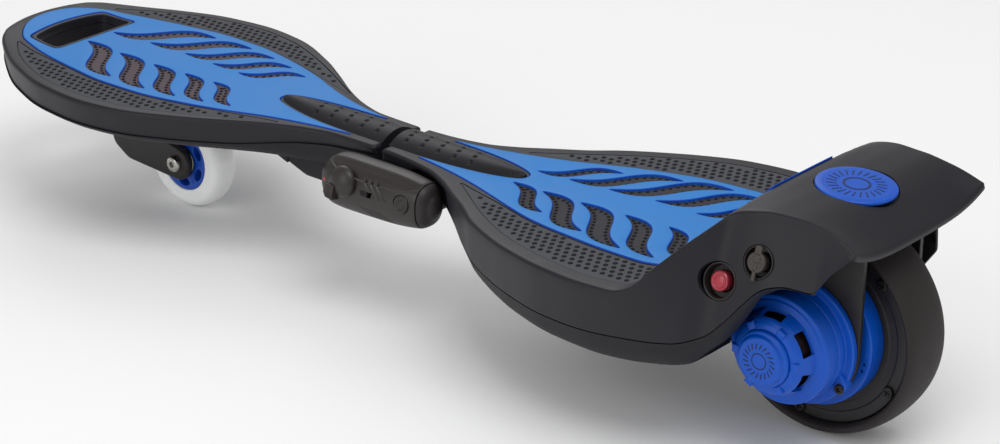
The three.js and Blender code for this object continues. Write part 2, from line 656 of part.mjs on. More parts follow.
// The hull closes the front deck from below, with a sleeve round the slot and a gap for the housing
function makeFrontHull() {
  const t = torsion;
  const nose = frontRimShares[frontRimShares.length - 1][0] * frontLength;
  const outer = stations(frontRimShares, frontLength, splitHalf, nose);
  const inner = stations(frontRimShares, frontLength, splitHalf + wall, nose - 2 * wall);
  const sleeve = prism(slotOutline(wall), hullFloor(slot.front), deckHeight - skin - fit);
  const housingGap = block([t.bulgeStart - fit, t.bulgeEnd + fit], [-t.bulgeHalf - fit, t.bulgeHalf + fit],
    [0, t.height]);
  const hull = loft(outer.map((s) => hullRing(s, 0, 0)))
    .subtract(loft(inner.map((s) => hullRing(s, wall, overrun))))
    .subtract(rod(t.bushRadius + fit, -overrun, t.bulgeStart, 0, t.height, 20))
    .add(sleeve).subtract(slotThrough(0)).subtract(housingGap);
  addPiece('front_hull', hull, caseBlack);
}

function makeGrip(deck, name, proud, clear) {
  const spineWay = prism(spineOutline(deck, 2 * fit), 0, 2 * deckHeight);
  const insert = slab(deck, deck.insertTable, 0, insertLow, proud).subtract(spineWay);
  addPiece(`${name}_insert`, clear(cutWindows(insert, deck)), deckBlue);
  const under = slab(deck, deck.insertTable, 0, matBase, () => matTop);
  const pads = slab(deck, deck.padTable, 0, matBase, () => 0);
  const insertWay = slab(deck, deck.insertTable, fit, matTop, () => overrun);
  addPiece(`${name}_grip_mat`, clear(pads.subtract(insertWay).add(under).subtract(spineWay)), padGrey);
  addPiece(`${name}_spine`, spineCover(deck), caseBlack);
}

// The rear insert stands prouder as it climbs the ramp
function rearProud(s) {
  const climb = Math.max((-s / rearLength - rampShares[0]) / (rampShares[1] - rampShares[0]), 0);
  return grip.insertProud + (grip.rampProud - grip.insertProud) * climb;
}

function makeTorsionBar() {
  const t = torsion;
  const tube = rod(t.tubeRadius, -t.tubeBack, t.tubeFront, 0, t.height, 20)
    .subtract(rod(t.tubeBore, -t.tubeBack - overrun, t.tubeFront + overrun, 0, t.height, 20));
  addPiece('torsion_tube', tube, steel);
  const half = t.barSide / 2;
  addPiece('torsion_bar', block([-t.tubeBack - t.barOverhang, t.tubeFront + t.barOverhang], [-half, half],
    [t.height - half, t.height + half]), darkSteel);
  const bush = rod(t.bushRadius, t.bushBack, t.bushFront, 0, t.height, 20)
    .subtract(rod(t.tubeRadius + fit, 0, t.bushFront + overrun, 0, t.height, 20));
  addPiece('torsion_bush', bush, nylon);
}

// The housing holds the bush from above and shows as a bulge under the neck
function makeTorsionHousing() {
  const t = torsion;
  const floor = deckHeight - frontDepth;
  const low = floor - t.bulgeDrop;
  const side = [
    [t.bulgeStart, t.bulgeTop], [t.bulgeStart, low + t.bulgeRound], [t.bulgeStart + t.bulgeRound / 2, low],
    [t.bulgeFlat, low], [t.bulgeEnd - t.bulgeRound, floor], [t.bulgeEnd, floor + wall],
    [t.bulgeEnd, t.bulgeTop],
  ];
  const saddle = block([t.bushBack - wall, t.bulgeEnd - wall], [-t.saddleHalf, t.saddleHalf],
    [t.saddleLow, t.saddleTop]);
  const bore = rod(t.bushRadius + fit, 0, t.tubeFront + t.barOverhang + wall, 0, t.height, 20);
  addPiece('torsion_housing', saddle.add(plate(side, -t.bulgeHalf, t.bulgeHalf)).subtract(bore), caseBlack);
}

// The cradle clamps the tube in the rear deck's neck
function makeTorsionCradle() {
  const t = torsion;
  const base = tubBottom(0) + wall + fit;
  const clamp = (start) => block([-start - t.clampLength, -start], [-t.saddleHalf, t.saddleHalf],
    [base, t.saddleTop]);
  const keel = block([-t.clampFar, -t.clampNear], [-t.saddleHalf, t.saddleHalf], [base, base + t.keel]);
  const cradle = clamp(t.clampNear).add(clamp(t.clampFar)).add(keel)
    .subtract(rod(t.tubeRadius + fit, -rearLength, 0, 0, t.height, 20));
  addPiece('torsion_cradle', cradle, darkSteel);
}

function makeCasterTyre() {
  const c = caster;
  const side = [
    [c.hubRadius + fit, c.hubHalf], [c.radius - 2 * c.crown, c.halfWidth],
    [c.radius - c.crown, c.halfWidth * crownShares[0]],
    [c.radius - c.crown / 3, c.halfWidth * crownShares[1]],
  ];
  const tread = [...side, [c.radius, 0], ...side.slice().reverse().map(([r, y]) => [r, -y]), side[0]];
  addPiece('caster_tyre', turned(tread, c.axleStation, c.radius, 32), wheelWhite);
}

function makeCasterHub() {
  const c = caster;
  const [x, z] = [c.axleStation, c.radius];
  let hub = turned(ringProfile(c.seatRadius + fit, c.hubRadius, -c.hubHalf, c.hubHalf), x, z, 24);
  for (let k = 0; k < hubHoles; k += 1) {
    const hole = new THREE.CylinderGeometry(c.holeRadius, c.holeRadius, 4 * c.hubHalf, 8);
    hole.scale(1, 1, c.holeStretch / c.holeRadius).translate(c.holePitch, 0, 0);
    hub = hub.subtract(solid(hole.rotateY((2 * Math.PI * k) / hubHoles).translate(x, 0, z)));
  }
  const webHalf = c.hubHalf - c.bearingWidth - fit;
  const web = turned(ringProfile(c.webBore, c.seatRadius + 2 * fit, -webHalf, webHalf), x, z, 24);
  addPiece('caster_hub', hub.add(web), driveBlue);
  const pair = bearingPair(c.boltRadius + fit, c.seatRadius, c.bearingWidth, c.hubHalf, 0, x, z);
  addPiece('caster_bearings', pair, steel);
}

function makeCasterBolt() {
  const c = caster;
  const face = c.forkHalf + fit;
  const crown = face + c.boltHeadHeight;
  const bolt = [
    [0, -c.forkHalf], [c.boltRadius, -c.forkHalf], [c.boltRadius, face], [c.boltHead, face],
    [c.boltHead, (face + crown) / 2], [c.boltHead / 2, crown], [0, crown],
  ];
  addPiece('caster_axle_bolt', turned(bolt, c.axleStation, c.radius, 16), steel);
}

// The swivel's frame: its y axis runs up the pivot, which leans back at its foot
const pivot = new THREE.Matrix4().makeTranslation(caster.pivotStation, 0, caster.pivotHeight)
  .multiply(new THREE.Matrix4().makeRotationY(rakeAngle))
  .multiply(new THREE.Matrix4().makeRotationX(Math.PI / 2));

// A point of the fork's side view: along the crown, then up the pivot
function byPivot(along, up) {
  const [c, s] = [Math.cos(rakeAngle), Math.sin(rakeAngle)];
  return [caster.pivotStation + along * c + up * s, caster.pivotHeight - along * s + up * c];
}

function forkOutline() {
  const c = caster;
  const [x, z, crown, end] = [c.axleStation, c.radius, c.crownRadius, c.armEnd];
  const [topShare, footShare, toeShare, heelShare, dropShare] = forkShares;
  return [
    byPivot(-crown * topShare, 0), byPivot(crown * topShare, 0), byPivot(crown * footShare, -c.crownThick),
    [c.pivotStation + crown * toeShare, z], [c.pivotStation - crown * heelShare, z - end * dropShare],
    ...arc(x, z, end, -Math.PI * 0.42, -Math.PI * 1.42, 7),
    [x + crown, z + 2 * end * dropShare], byPivot(-crown * footShare, -c.crownThick),
  ];
}

function makeCasterFork() {
  const c = caster;
  const [x, z] = [c.axleStation, c.radius];
  const inner = c.forkHalf - c.armThick;
  const boss = (from, to) => turned(discProfile(c.bossRadius, from, to), x, z, 14);
  const below = -4 * c.crownThick;
  const fork = plate(forkOutline(), -c.forkHalf, c.forkHalf)
    .add(turnedIn(pivot, discProfile(c.crownRadius, -c.crownThick, 0), 24))
    .subtract(turned(discProfile(c.radius + 2 * c.crown, -inner, inner), x, z, 24))
    .subtract(block([x - 2 * c.radius, x], [-inner, inner], [0, 2 * c.radius]))
    .add(boss(c.hubHalf + fit, inner + fit)).add(boss(-inner - fit, -c.hubHalf - fit))
    .subtract(turned(discProfile(c.boltRadius + fit, -2 * c.forkHalf, 2 * c.forkHalf), x, z, 12))
    .subtract(turnedIn(pivot, discProfile(c.kingpinRadius + fit, below, overrun), 16))
    .subtract(turnedIn(pivot, discProfile(c.kingpinHead + 2 * fit, below, -c.crownThick), 16));
  addPiece('caster_fork', fork, castBlack);
}

function makeSwivel() {
  const c = caster;
  const ring = ringProfile(c.bearingBore, c.crownRadius - fit, fit, c.bearingHeight - fit);
  addPiece('swivel_bearing', turnedIn(pivot, ring, 24), darkSteel);
  const headTop = -c.crownThick - fit;
  const head = turnedIn(pivot, discProfile(c.kingpinHead, headTop - c.kingpinHeadHeight, headTop), 6);
  const shank = turnedIn(pivot, discProfile(c.kingpinRadius, headTop, c.kingpinReach), 14);
  addPiece('kingpin', shank.add(head), steel);
  const wedge = turnedIn(pivot, discProfile(c.wedgeRadius, c.bearingHeight, 4 * c.wedgeRadius), 24)
    .intersect(block([0, frontLength], [-frontHalfWidth, frontHalfWidth],
      [0, hullFloor(c.pivotStation) - fit]))
    .subtract(turnedIn(pivot, discProfile(c.kingpinRadius + fit, 0, 2 * c.kingpinReach), 14));
  addPiece('caster_wedge', wedge, castBlack);
}

// Room for the wheel, and for the motor beside it on the left
function wheelRoom(grow) {
  const [x, z] = [drive.axleStation, drive.radius];
  const reach = arch.halfWidth + grow;
  const radius = drive.radius + arch.gap + grow;
  const side = motor.flangeRadius + arch.motorGap + grow;
  const motorEnd = motor.capEnd + arch.motorGap + grow;
  const behind = -rearLength - overrun;
  return turned(discProfile(radius, -reach, reach), x, z, 28)
    .add(block([behind, x + radius], [-reach, reach], [0, z]))
    .add(turned(discProfile(side, 0, motorEnd), x, z, 20))
    .add(block([behind, x + side], [0, motorEnd], [0, z]));
}

// Room for the docked remote, open to the left so that it lifts out sideways
function remoteRoom(grow) {
  const r = remote;
  const gap = r.gap + grow;
  const cuts = remoteShares.map(([u, scale]) => [r.front + (r.back - r.front) * u,
    r.halfHeight * scale + gap]);
  cuts[cuts.length - 1][0] -= gap + r.capTravel;
  const upper = cuts.map(([s, half]) => [s, r.height + half]);
  const lower = cuts.map(([s, half]) => [s, r.height - half]).reverse();
  const body = remoteBody(r.front, r.back - gap, gap);
  return body.add(body.translate([-r.capTravel, 0, 0]))
    .add(plate([...upper, ...lower], r.side, rearHalfWidth + overrun));
}

// A frame on the hood's left panel: its y axis points out of the panel
function panelFrame(station, height) {
  return new THREE.Matrix4().makeTranslation(station, panelSide(station, height), height)
    .multiply(new THREE.Matrix4().makeRotationX(panelTilt));
}

// A frame on the hood's top: its y axis points up
function emblemFrame() {
  return new THREE.Matrix4().makeTranslation(emblem.station, 0, rearTop(emblem.station, 0))
    .multiply(new THREE.Matrix4().makeRotationY(-emblemTilt))
    .multiply(new THREE.Matrix4().makeRotationX(Math.PI / 2));
}

function upright(radius, x, y, low, high, sides) {
  const body = new THREE.CylinderGeometry(radius, radius, high - low, sides);
  return solid(body.rotateX(Math.PI / 2).translate(x, y, (low + high) / 2));
}

// Where the yoke is bolted to the hood
function yokePosts() {
  const x = drive.axleStation;
  const [back, front] = [x - yoke.postBack, x + yoke.postFront];
  return [[back, yoke.postSide], [back, -yoke.postSide], [front, yoke.postSide], [front, -yoke.postSide]];
}

function rearHollow() {
  const cuts = stations(rearRimShares, -rearLength, -splitHalf - wall, -rearLength - overrun);
  const roof = (s) => (s > rampShares[1] * -rearLength ? skin : hoodSkin);
  return loft(cuts.map((s) => rearRing(s, wall, roof(s), overrun))).subtract(remoteRoom(wall));
}

function makeRearShell() {
  const cuts = stations(rearRimShares, -rearLength, -splitHalf, -rearLength);
  const body = loft(cuts.map((s) => rearRing(s, 0, 0, 0))).subtract(remoteRoom(0));
  const t = torsion;
  let shell = body.subtract(rearHollow()).subtract(gripRecess(rearDeck))
    .subtract(rod(t.tubeRadius + fit, -t.clampNear, overrun, 0, t.height, 20));
  for (const [x, y] of yokePosts()) {
    const high = rearTop(x, y) - hoodSkin + fit;
    shell = shell.add(upright(yoke.postRadius, x, y, yoke.topHeight + fit, high, 8));
  }
  const hole = (frame, radius, depth, sides) => (
    turnedIn(frame, discProfile(radius + fit, -depth, overrun), sides));
  shell = shell.subtract(hole(emblemFrame(), emblem.radius, emblem.pocket, 32))
    .subtract(hole(panelFrame(power.station, power.height), power.bezel, overrun, 20))
    .subtract(hole(panelFrame(port.station, port.height), port.recess, overrun, 20));
  addPiece('rear_shell', shell, caseBlack);
}

function makeEmblem() {
  const groove = ringProfile(emblem.grooveRadius, emblem.grooveRadius + emblem.groove, 0, overrun);
  const disc = turnedIn(emblemFrame(), discProfile(emblem.radius, fit - emblem.pocket, emblem.proud), 32);
  addPiece('emblem_disc', disc.subtract(turnedIn(emblemFrame(), groove, 20)), deckBlue);
}

// The tub closes the rear deck from below, wraps the wheel and carries the battery on ribs
function makeTub() {
  const end = -tubBottomShares[tubBottomShares.length - 1][0] * rearLength;
  const cuts = stations(rearRimShares, -rearLength, -splitHalf, end);
  const hollow = loft(stations(rearRimShares, -rearLength, -splitHalf - wall, end + wall)
    .map((s) => tubRing(s, wall, overrun)));
  const ribAt = (s, half, top) => (
    block([s - rib.thick, s], [-half, half], [tubBottom(s) + wall / 2, top - fit]));
  const tub = loft(cuts.map((s) => tubRing(s, 0, 0))).subtract(wheelRoom(0)).subtract(remoteRoom(0))
    .subtract(hollow.subtract(wheelRoom(wall)).subtract(remoteRoom(wall)))
    .subtract(rod(torsion.tubeRadius + fit, -torsion.clampNear, overrun, 0, torsion.height, 20))
    .add(ribAt(-battery.front - rib.inset, rib.halfWidth, battery.bottom))
    .add(ribAt(-battery.back + rib.inset, rib.halfWidth, battery.bottom))
    .add(ribAt((-board.front - board.back) / 2, rib.boardHalf, board.bottom));
  addPiece('rear_tub', tub, caseBlack);
}

function makeElectronics() {
  addPiece('battery_pack', block([-battery.back, -battery.front], [-battery.halfWidth, battery.halfWidth],
    [battery.bottom, battery.top]), cellBlue);
  addPiece('controller', block([-board.back, -board.front], [-board.halfWidth, board.halfWidth],
    [board.bottom, board.top]), boardGreen);
}

// The yoke: two plates beside the wheel, joined by a web under the hood
function makeYoke() {
  const y = yoke;
  const [x, z] = [drive.axleStation, drive.radius];
  const outline = [
    [x - y.backReach, y.topHeight], ...arc(x, z, y.bottomRadius, -Math.PI, 0, 12),
    [x + y.frontReach, y.frontTop], [x + y.webFront, y.topHeight],
  ];
  const [nearEnd, farEnd] = [y.inside + y.plateThick, -y.inside - y.farGap - y.plateThick];
  let body = plate(outline, y.inside, nearEnd)
    .subtract(turned(discProfile(y.bore, 0, 2 * nearEnd), x, z, 14))
    .add(plate(outline, farEnd, farEnd + y.plateThick))
    .subtract(turned(discProfile(drive.axleRadius + fit, 2 * farEnd, 0), x, z, 16))
    .add(block([x - y.backReach, x + y.webFront], [farEnd, nearEnd],
      [y.topHeight - y.webThick, y.topHeight]));
  for (const [px, py] of yokePosts()) {
    const [low, high] = [y.topHeight - 2 * y.webThick, y.topHeight + y.webThick];
    body = body.subtract(upright(y.boltRadius, px, py, low, high, 8));
  }
  addPiece('wheel_yoke', body, darkSteel);
}

function makeDriveTyre() {
  const d = drive;
  const flat = d.halfWidth - d.shoulder;
  const rim = d.rimRadius + fit;
  const curve = shoulderShares.map((t) => {
    const angle = (t * Math.PI) / 2;
    return [d.radius - (d.shoulder / 2) * (1 - Math.cos(angle)), flat + d.shoulder * Math.sin(angle)];
  });
  const side = [...curve, [rim, d.halfWidth - d.beadInset], [rim, d.hubHalf]];
  const tread = [...side.slice().reverse().map(([r, y]) => [r, -y]), ...side, [rim, -d.hubHalf]]
    .map(([r, y]) => [r, y + d.centre]);
  addPiece('drive_tyre', turned(tread, d.axleStation, d.radius, 36), rubberBlack);
}

// One half of the wheel's hub: a dish from the split plane to its face
function hubHalf(face, middle) {
  const d = drive;
  const seat = d.bearingRadius + fit;
  const floor = face - Math.sign(face - middle) * d.hubWall;
  const rimInside = d.rimRadius - d.rimThick;
  return turned([
    [seat, middle], [seat, face], [d.rimRadius, face], [d.rimRadius, middle], [rimInside, middle],
    [rimInside, floor], [seat + d.hubWall, floor], [seat + d.hubWall, middle], [seat, middle],
  ], d.axleStation, d.radius, 28);
}

function makeHub() {
  const d = drive;
  const left = d.centre + d.hubHalf;
  const deep = d.centre - d.hubWall;
  let outer = hubHalf(left, d.centre + fit / 2);
  let inner = hubHalf(d.centre - d.hubHalf, d.centre - fit / 2);
  for (let k = 0; k < hubScrewCount; k += 1) {
    const angle = hubScrewTurn + (2 * Math.PI * k) / hubScrewCount;
    const [x, z] = [d.axleStation - d.screwPitch * Math.cos(angle),
      d.radius + d.screwPitch * Math.sin(angle)];
    const way = turned(discProfile(d.screwShank + fit, deep - fit, left + overrun), x, z, 8);
    outer = outer.subtract(way);
    inner = inner.subtract(way);
    const screw = turned(discProfile(d.screwShank, deep, left + fit), x, z, 8)
      .add(turned(discProfile(d.screwRadius, left + fit, left + fit + d.screwHead), x, z, 10));
    addPiece(`hub_screw_${k + 1}`, screw, darkSteel);
  }
  addPiece('hub_outer', outer, hubBlack);
  addPiece('hub_inner', inner, hubBlack);
}

function makeDriveAxle() {
  const d = drive;
  const [x, z] = [d.axleStation, d.radius];
  addPiece('hub_bearings',
    bearingPair(d.axleRadius + fit, d.bearingRadius, d.bearingWidth, d.hubHalf, d.centre, x, z),
    steel);
  const headAt = -yoke.inside - yoke.farGap - yoke.plateThick - fit;
  const head = turned(discProfile(d.headRadius, headAt - d.headHeight, headAt), x, z, 6);
  const shank = turned(discProfile(d.axleRadius, headAt, d.centre + d.hubHalf), x, z, 16);
  addPiece('drive_axle', shank.add(head), steel);
}

// A gear's outline about its own centre, for outer or inner teeth
function gearOutline(teeth, turn, inner) {
  const pitch = (gears.module * teeth) / 2;
  const sign = inner ? -1 : 1;
  const tip = pitch + sign * (gears.module - gears.backlash);
  const root = pitch - sign * (gears.module + gears.backlash);
  const step = (2 * Math.PI) / teeth;
  const wide = step * toothShares[0] - gears.backlash / pitch;
  const narrow = step * toothShares[1] - gears.backlash / pitch / 2;
  return Array.from({ length: teeth }, (_, k) => {
    const middle = turn + k * step;
    return [[root, middle - wide], [tip, middle - narrow], [tip, middle + narrow], [root, middle + wide]];
  }).flat().map(([r, a]) => [r * Math.cos(a), r * Math.sin(a)]);
}

function gearBody(outline, x, z, right, left) {
  return plate(outline.map(([px, pz]) => [px + x, pz + z]), right, left);
}

const coverBase = yoke.inside + yoke.plateThick + fit;
const gearRight = drive.centre + drive.hubHalf + 3 * fit;
const gearLeft = gearRight + drive.gearDepth;
const firstPlanet = Math.PI / 2;

// Each planet is turned so that its teeth meet the pinion's gaps, and the ring so that it meets the planets
function planetTurn(angle) {
  return angle + Math.PI + Math.PI / planetTeeth + (angle * pinionTeeth) / planetTeeth;
}

// The flange is bolted to the wheel; the ring gear is cut inside its cup
function makeDriveFlange() {
  const d = drive;
  const [x, z] = [d.axleStation, d.radius];
  const base = d.centre + d.hubHalf + fit;
  const inside = d.flangeRadius - d.flangeWall;
  const floor = d.flangeFace - d.flangeWall;
  const cup = turned([
    [inside, base], [d.flangeRadius, base], [d.flangeRadius, d.flangeFace], [d.flangeBore, d.flangeFace],
    [d.flangeBore, floor], [inside, floor], [inside, base],
  ], x, z, 32);
  const mesh = ((firstPlanet - planetTurn(firstPlanet)) * planetTeeth) / ringTeeth;
  const turn = firstPlanet + Math.PI / ringTeeth - mesh;
  const blank = turned(discProfile(inside + d.flangeWall / 2, base, gearLeft), x, z, 32);
  const teeth = gearBody(gearOutline(ringTeeth, turn, true), x, z, base - overrun, gearLeft + overrun);
  addPiece('drive_flange', cup.add(blank.subtract(teeth)), driveBlue);
}

function makePlanets() {
  const [x, z] = [drive.axleStation, drive.radius];
  const distance = (gears.module * (pinionTeeth + planetTeeth)) / 2;
  const disc = ringProfile(yoke.bore, drive.flangeBore - 3 * fit, gearLeft + 2 * fit, yoke.inside - fit);
  let carrier = turned(disc, x, z, 22);
  for (let k = 0; k < planetCount; k += 1) {
    const angle = firstPlanet + (2 * Math.PI * k) / planetCount;
    const [px, pz] = [x + distance * Math.cos(angle), z + distance * Math.sin(angle)];
    carrier = carrier.add(turned(discProfile(gears.pinRadius, gearRight, gearLeft + 3 * fit), px, pz, 10));
    const body = gearBody(gearOutline(planetTeeth, planetTurn(angle), false), px, pz, gearRight, gearLeft)
      .subtract(turned(discProfile(gears.pinRadius + fit, 0, 2 * gearLeft), px, pz, 10));
    addPiece(`planet_gear_${k + 1}`, body, nylon);
  }
  addPiece('planet_carrier', carrier, darkSteel);
}

function makePinion() {
  const [x, z] = [drive.axleStation, drive.radius];
  const pinion = gearBody(gearOutline(pinionTeeth, 0, false), x, z, gearRight, gearLeft)
    .add(turned(discProfile(motor.shaftRadius, gearRight, coverBase + motor.shaftGrip), x, z, 12));
  addPiece('motor_pinion', pinion, steel);
}

function makeMotorCover() {
  const m = motor;
  const [x, z] = [drive.axleStation, drive.radius];
  const flangeEnd = coverBase + m.flangeThick;
  const outside = [
    [m.flangeRadius, coverBase], [m.flangeRadius, flangeEnd], [m.drumRadius, flangeEnd + fit],
    [m.drumRadius - 2 * fit, m.drumEnd], [m.stepRadius, m.drumEnd + fit], [m.shoulderRadius, m.shoulderEnd],
    [m.neckRadius + m.shell, m.neckStart],
  ];
  const inside = outside.map(([r, y]) => [r - m.shell, y]).reverse();
  let cover = turned([...outside, ...inside, [m.flangeRadius, coverBase]], x, z, 28);
  for (let k = 0; k < ventCount; k += 1) {
    const vent = new THREE.BoxGeometry(m.ventDeep, m.ventLong, m.ventHigh)
      .translate(m.shoulderRadius, m.drumEnd + m.ventLong, 0)
      .rotateY((2 * Math.PI * (k + 0.5)) / ventCount);
    cover = cover.subtract(solid(vent.translate(x, 0, z)));
  }
  const hollow = turned(discProfile(m.drumRadius - m.shell / 2, 0, m.capEnd), x, z, 28);
  for (const turn of lugTurns) {
    const lug = new THREE.BoxGeometry(m.lugHalf * 2, m.lugHeight, m.lugHalf * 2)
      .translate(m.lugReach - m.lugHalf, coverBase + m.lugHeight / 2, 0).rotateY(turn).translate(x, 0, z);
    cover = cover.add(solid(lug).subtract(hollow));
  }
  addPiece('motor_cover', cover, driveBlue);
}

function makeMotorRest() {
  const m = motor;
  const [x, z] = [drive.axleStation, drive.radius];
  const reach = m.drumRadius + m.headRadius + fit;
  const foot = coverBase + m.lugHeight + fit;
  const [sx, sz] = [x + reach * Math.cos(lugTurns[0]), z - reach * Math.sin(lugTurns[0])];
  const head = turned(discProfile(m.headRadius, foot, foot + m.headHeight), sx, sz, 12);
  addPiece('cover_screw', head, darkSteel);
  const cap = [
    [0, m.neckStart + fit], [m.neckRadius, m.neckStart + fit], [m.neckRadius, m.neckEnd],
    [m.capRadius, m.capEnd],
    [0, m.capEnd],
  ];
  addPiece('motor_end_cap', turned(cap, x, z, 28), driveBlue);
  const shaftWay = turned(discProfile(m.shaftRadius + fit, 0, coverBase + 2 * m.shaftGrip), x, z, 12);
  const can = turned(discProfile(m.canRadius, coverBase, m.canEnd), x, z, 20);
  addPiece('motor_can', can.subtract(shaftWay), copper);
}

function makeSwitch() {
  const p = power;
  const seat = panelFrame(p.station, p.height);
  const guide = p.button + fit;
  const bezel = [
    [guide, -p.depth], [p.bezel, -p.depth], [p.bezel, 0], [p.bezelBore, -p.inset],
    [p.bezelBore, -p.guideDeep],
    [guide, -p.guideDeep], [guide, -p.depth],
  ];
  addPiece('switch_bezel', turnedIn(seat, bezel, 20), hubBlack);
  addPiece('switch_button', turnedIn(seat, discProfile(p.button, p.top - p.buttonLong, p.top), 16),
    signalRed);
}

function makePort() {
  const p = port;
  const place = panelFrame(p.station, p.height);
  const [inner, ledge] = [p.recess - p.lip, p.rise - p.dish];
  const cup = [
    [0, -p.depth], [p.recess, -p.depth], [p.recess, 0], [inner, 0], [inner, -p.dish], [p.socket, -p.dish],
    [p.socket, ledge], [p.hole, ledge], [p.hole, -p.holeDeep], [0, -p.holeDeep],
  ];
  addPiece('charge_socket', turnedIn(place, cup, 20), hubBlack);
  const strip = (half, from, to) => boxIn(place, [2 * half, p.tabThick, to - from],
    [0, p.tabLift + p.tabThick / 2, (from + to) / 2]);
  const cap = turnedIn(place, discProfile(p.cap, ledge + fit, p.tabLift + p.tabThick), 16)
    .add(strip(p.tabHalf, 0, p.tabReach)).add(strip(p.tabHalf / 2, -p.tailReach, 0));
  addPiece('charge_cap', cap, remoteGrey);
}

// A point of the remote's squared-off oval section at an angle
function remotePoint(angle, scale, grow) {
  const square = (v) => Math.sign(v) * Math.abs(v) ** remoteSquareness;
  const [c, s] = [square(Math.cos(angle)), square(Math.sin(angle))];
  return [remote.side + (remote.halfThick * scale + grow) * c,
    remote.height + (remote.halfHeight * scale + grow) * s];
}

// A length of the remote's body between two stations
function remoteBody(from, to, grow) {
  const share = (s) => (remote.front - s) / (remote.front - remote.back);
  const inside = remoteShares.map(([u]) => u).filter((u) => u > share(from) && u < share(to));
  return loft([share(from), ...inside, share(to)].map((u) => {
    const s = remote.front + (remote.back - remote.front) * u;
    const scale = along(remoteShares, u);
    return Array.from({ length: remoteSides }, (_, k) => {
      return [s, ...remotePoint((2 * Math.PI * k) / remoteSides, scale, grow)];
    });
  }));
}

// A frame on the remote's face: its y axis points out of the face
function controlFrame(station, rise) {
  const share = (remote.front - station) / (remote.front - remote.back);
  const half = remote.halfThick * along(remoteShares, share);
  return new THREE.Matrix4().makeTranslation(station, remote.side + half * faceShare, remote.height + rise)
    .multiply(new THREE.Matrix4().makeRotationX(controlLean));
}

function cellRod(grow) {
  const start = remote.seam + remote.shell;
  return rod(remote.cellRadius + grow, start, start + remote.cellLong, remote.side, remote.height, 12);
}

// Two ribs of the remote's back half, hollowed for the cell
function cellRests() {
  const r = remote;
  const across = [r.side - r.halfThick + r.shell / 2, r.side - r.partBack - fit / 2];
  const ribAt = (s) => block([s, s + r.shell], across, [r.height - r.cellRadius, r.height + r.cellRadius]);
  return ribAt(r.seam + r.ribInset).add(ribAt(r.seam + r.cellLong - r.ribInset))
    .intersect(remoteBody(r.front, r.seam, -r.shell / 2)).subtract(cellRod(fit));
}

function makeRemoteCase() {
  const r = remote;
  const seam = r.seam + fit / 2;
  const body = remoteBody(r.front, seam, 0)
    .subtract(remoteBody(r.front - r.shell, seam - overrun, -r.shell));
  const split = r.side - r.partBack;
  const through = (radius) => discProfile(radius + fit, -overrun, overrun);
  const [long, tall] = [[-rearLength, frontLength], [0, 2 * deckHeight]];
  const face = body.intersect(block(long, [split + fit / 2, rearHalfWidth], tall))
    .subtract(turnedIn(controlFrame(r.dialStation, r.dialRise), through(r.stemRadius), 12))
    .subtract(boxIn(controlFrame(r.sliderStation, r.sliderRise),
      [r.sliderLong + r.sliderTravel + 2 * fit, 2 * overrun, r.sliderHigh + 2 * fit],
      [-r.sliderTravel / 2, 0, 0]))
    .subtract(turnedIn(controlFrame(r.buttonStation, r.buttonRise), through(r.buttonRadius), 16));
  addPiece('remote_face', face, remoteGrey);
  addPiece('remote_back', body.intersect(block(long, [0, split - fit / 2], tall)).add(cellRests()),
    remoteGrey);
  const cap = remoteBody(r.seam - fit / 2, r.back, 0)
    .subtract(remoteBody(r.seam + overrun, r.back + r.shell, -r.shell));
  addPiece('remote_cap', cap, hubBlack);
  addPiece('remote_cell', cellRod(0), copper);
}

function makeRemoteControls() {
  const r = remote;
  const dialSeat = controlFrame(r.dialStation, r.dialRise);
  const dial = turnedIn(dialSeat, [
    [0, -r.shell], [r.stemRadius, -r.shell], [r.stemRadius, r.dialGap], [r.dialRadius, r.dialGap],
    [r.dialRadius * dialShare, r.dialHeight * dialShare], [0, r.dialHeight],
  ], 18);
  const lever = boxIn(dialSeat, [r.leverLength, r.dialHeight - r.dialGap, 2 * r.leverHalf],
    [r.leverLength / 2, (r.dialHeight + r.dialGap) / 2, -r.leverDrop]);
  addPiece('remote_dial', dial.add(lever), remoteGrey);
  addPiece('remote_slider', boxIn(controlFrame(r.sliderStation, r.sliderRise),
    [r.sliderLong, r.shell + r.sliderProud, r.sliderHigh], [0, (r.sliderProud - r.shell) / 2, 0]),
    hubBlack);
  addPiece('remote_button', turnedIn(controlFrame(r.buttonStation, r.buttonRise),
    discProfile(r.buttonRadius, -r.shell, r.buttonProud), 16), remoteGrey);
}

// The dock: an arm under the neck with a cradle round the remote's inner side
function makeDock() {
  const r = remote;
  const d = dock;
  const hold = (scale, grow) => cradleShares.map((v) => remotePoint(Math.PI * v, scale, grow));
  const cradle = loft([d.back, d.front].map((s) => {
    const scale = along(remoteShares, (r.front - s) / (r.front - r.back));
    const outline = [...hold(scale, 2 * fit), ...hold(scale, 2 * fit + d.thick).reverse()];
    return outline.map(([y, z]) => [s, y, z]);
  }));
  const top = tubBottom(0) - fit;
  const side = r.side - r.halfThick;
  const arm = block([d.back, d.front], [d.inner, side], [top - d.plate, top]);
  const riser = block([d.front - d.riser, d.front], [side - d.thick, side],
    [top - d.plate, r.height - r.halfHeight / 2]);
  addPiece('remote_dock', cradle.add(arm).add(riser).subtract(remoteBody(r.front, r.back, 2 * fit)),
    hubBlack);
}

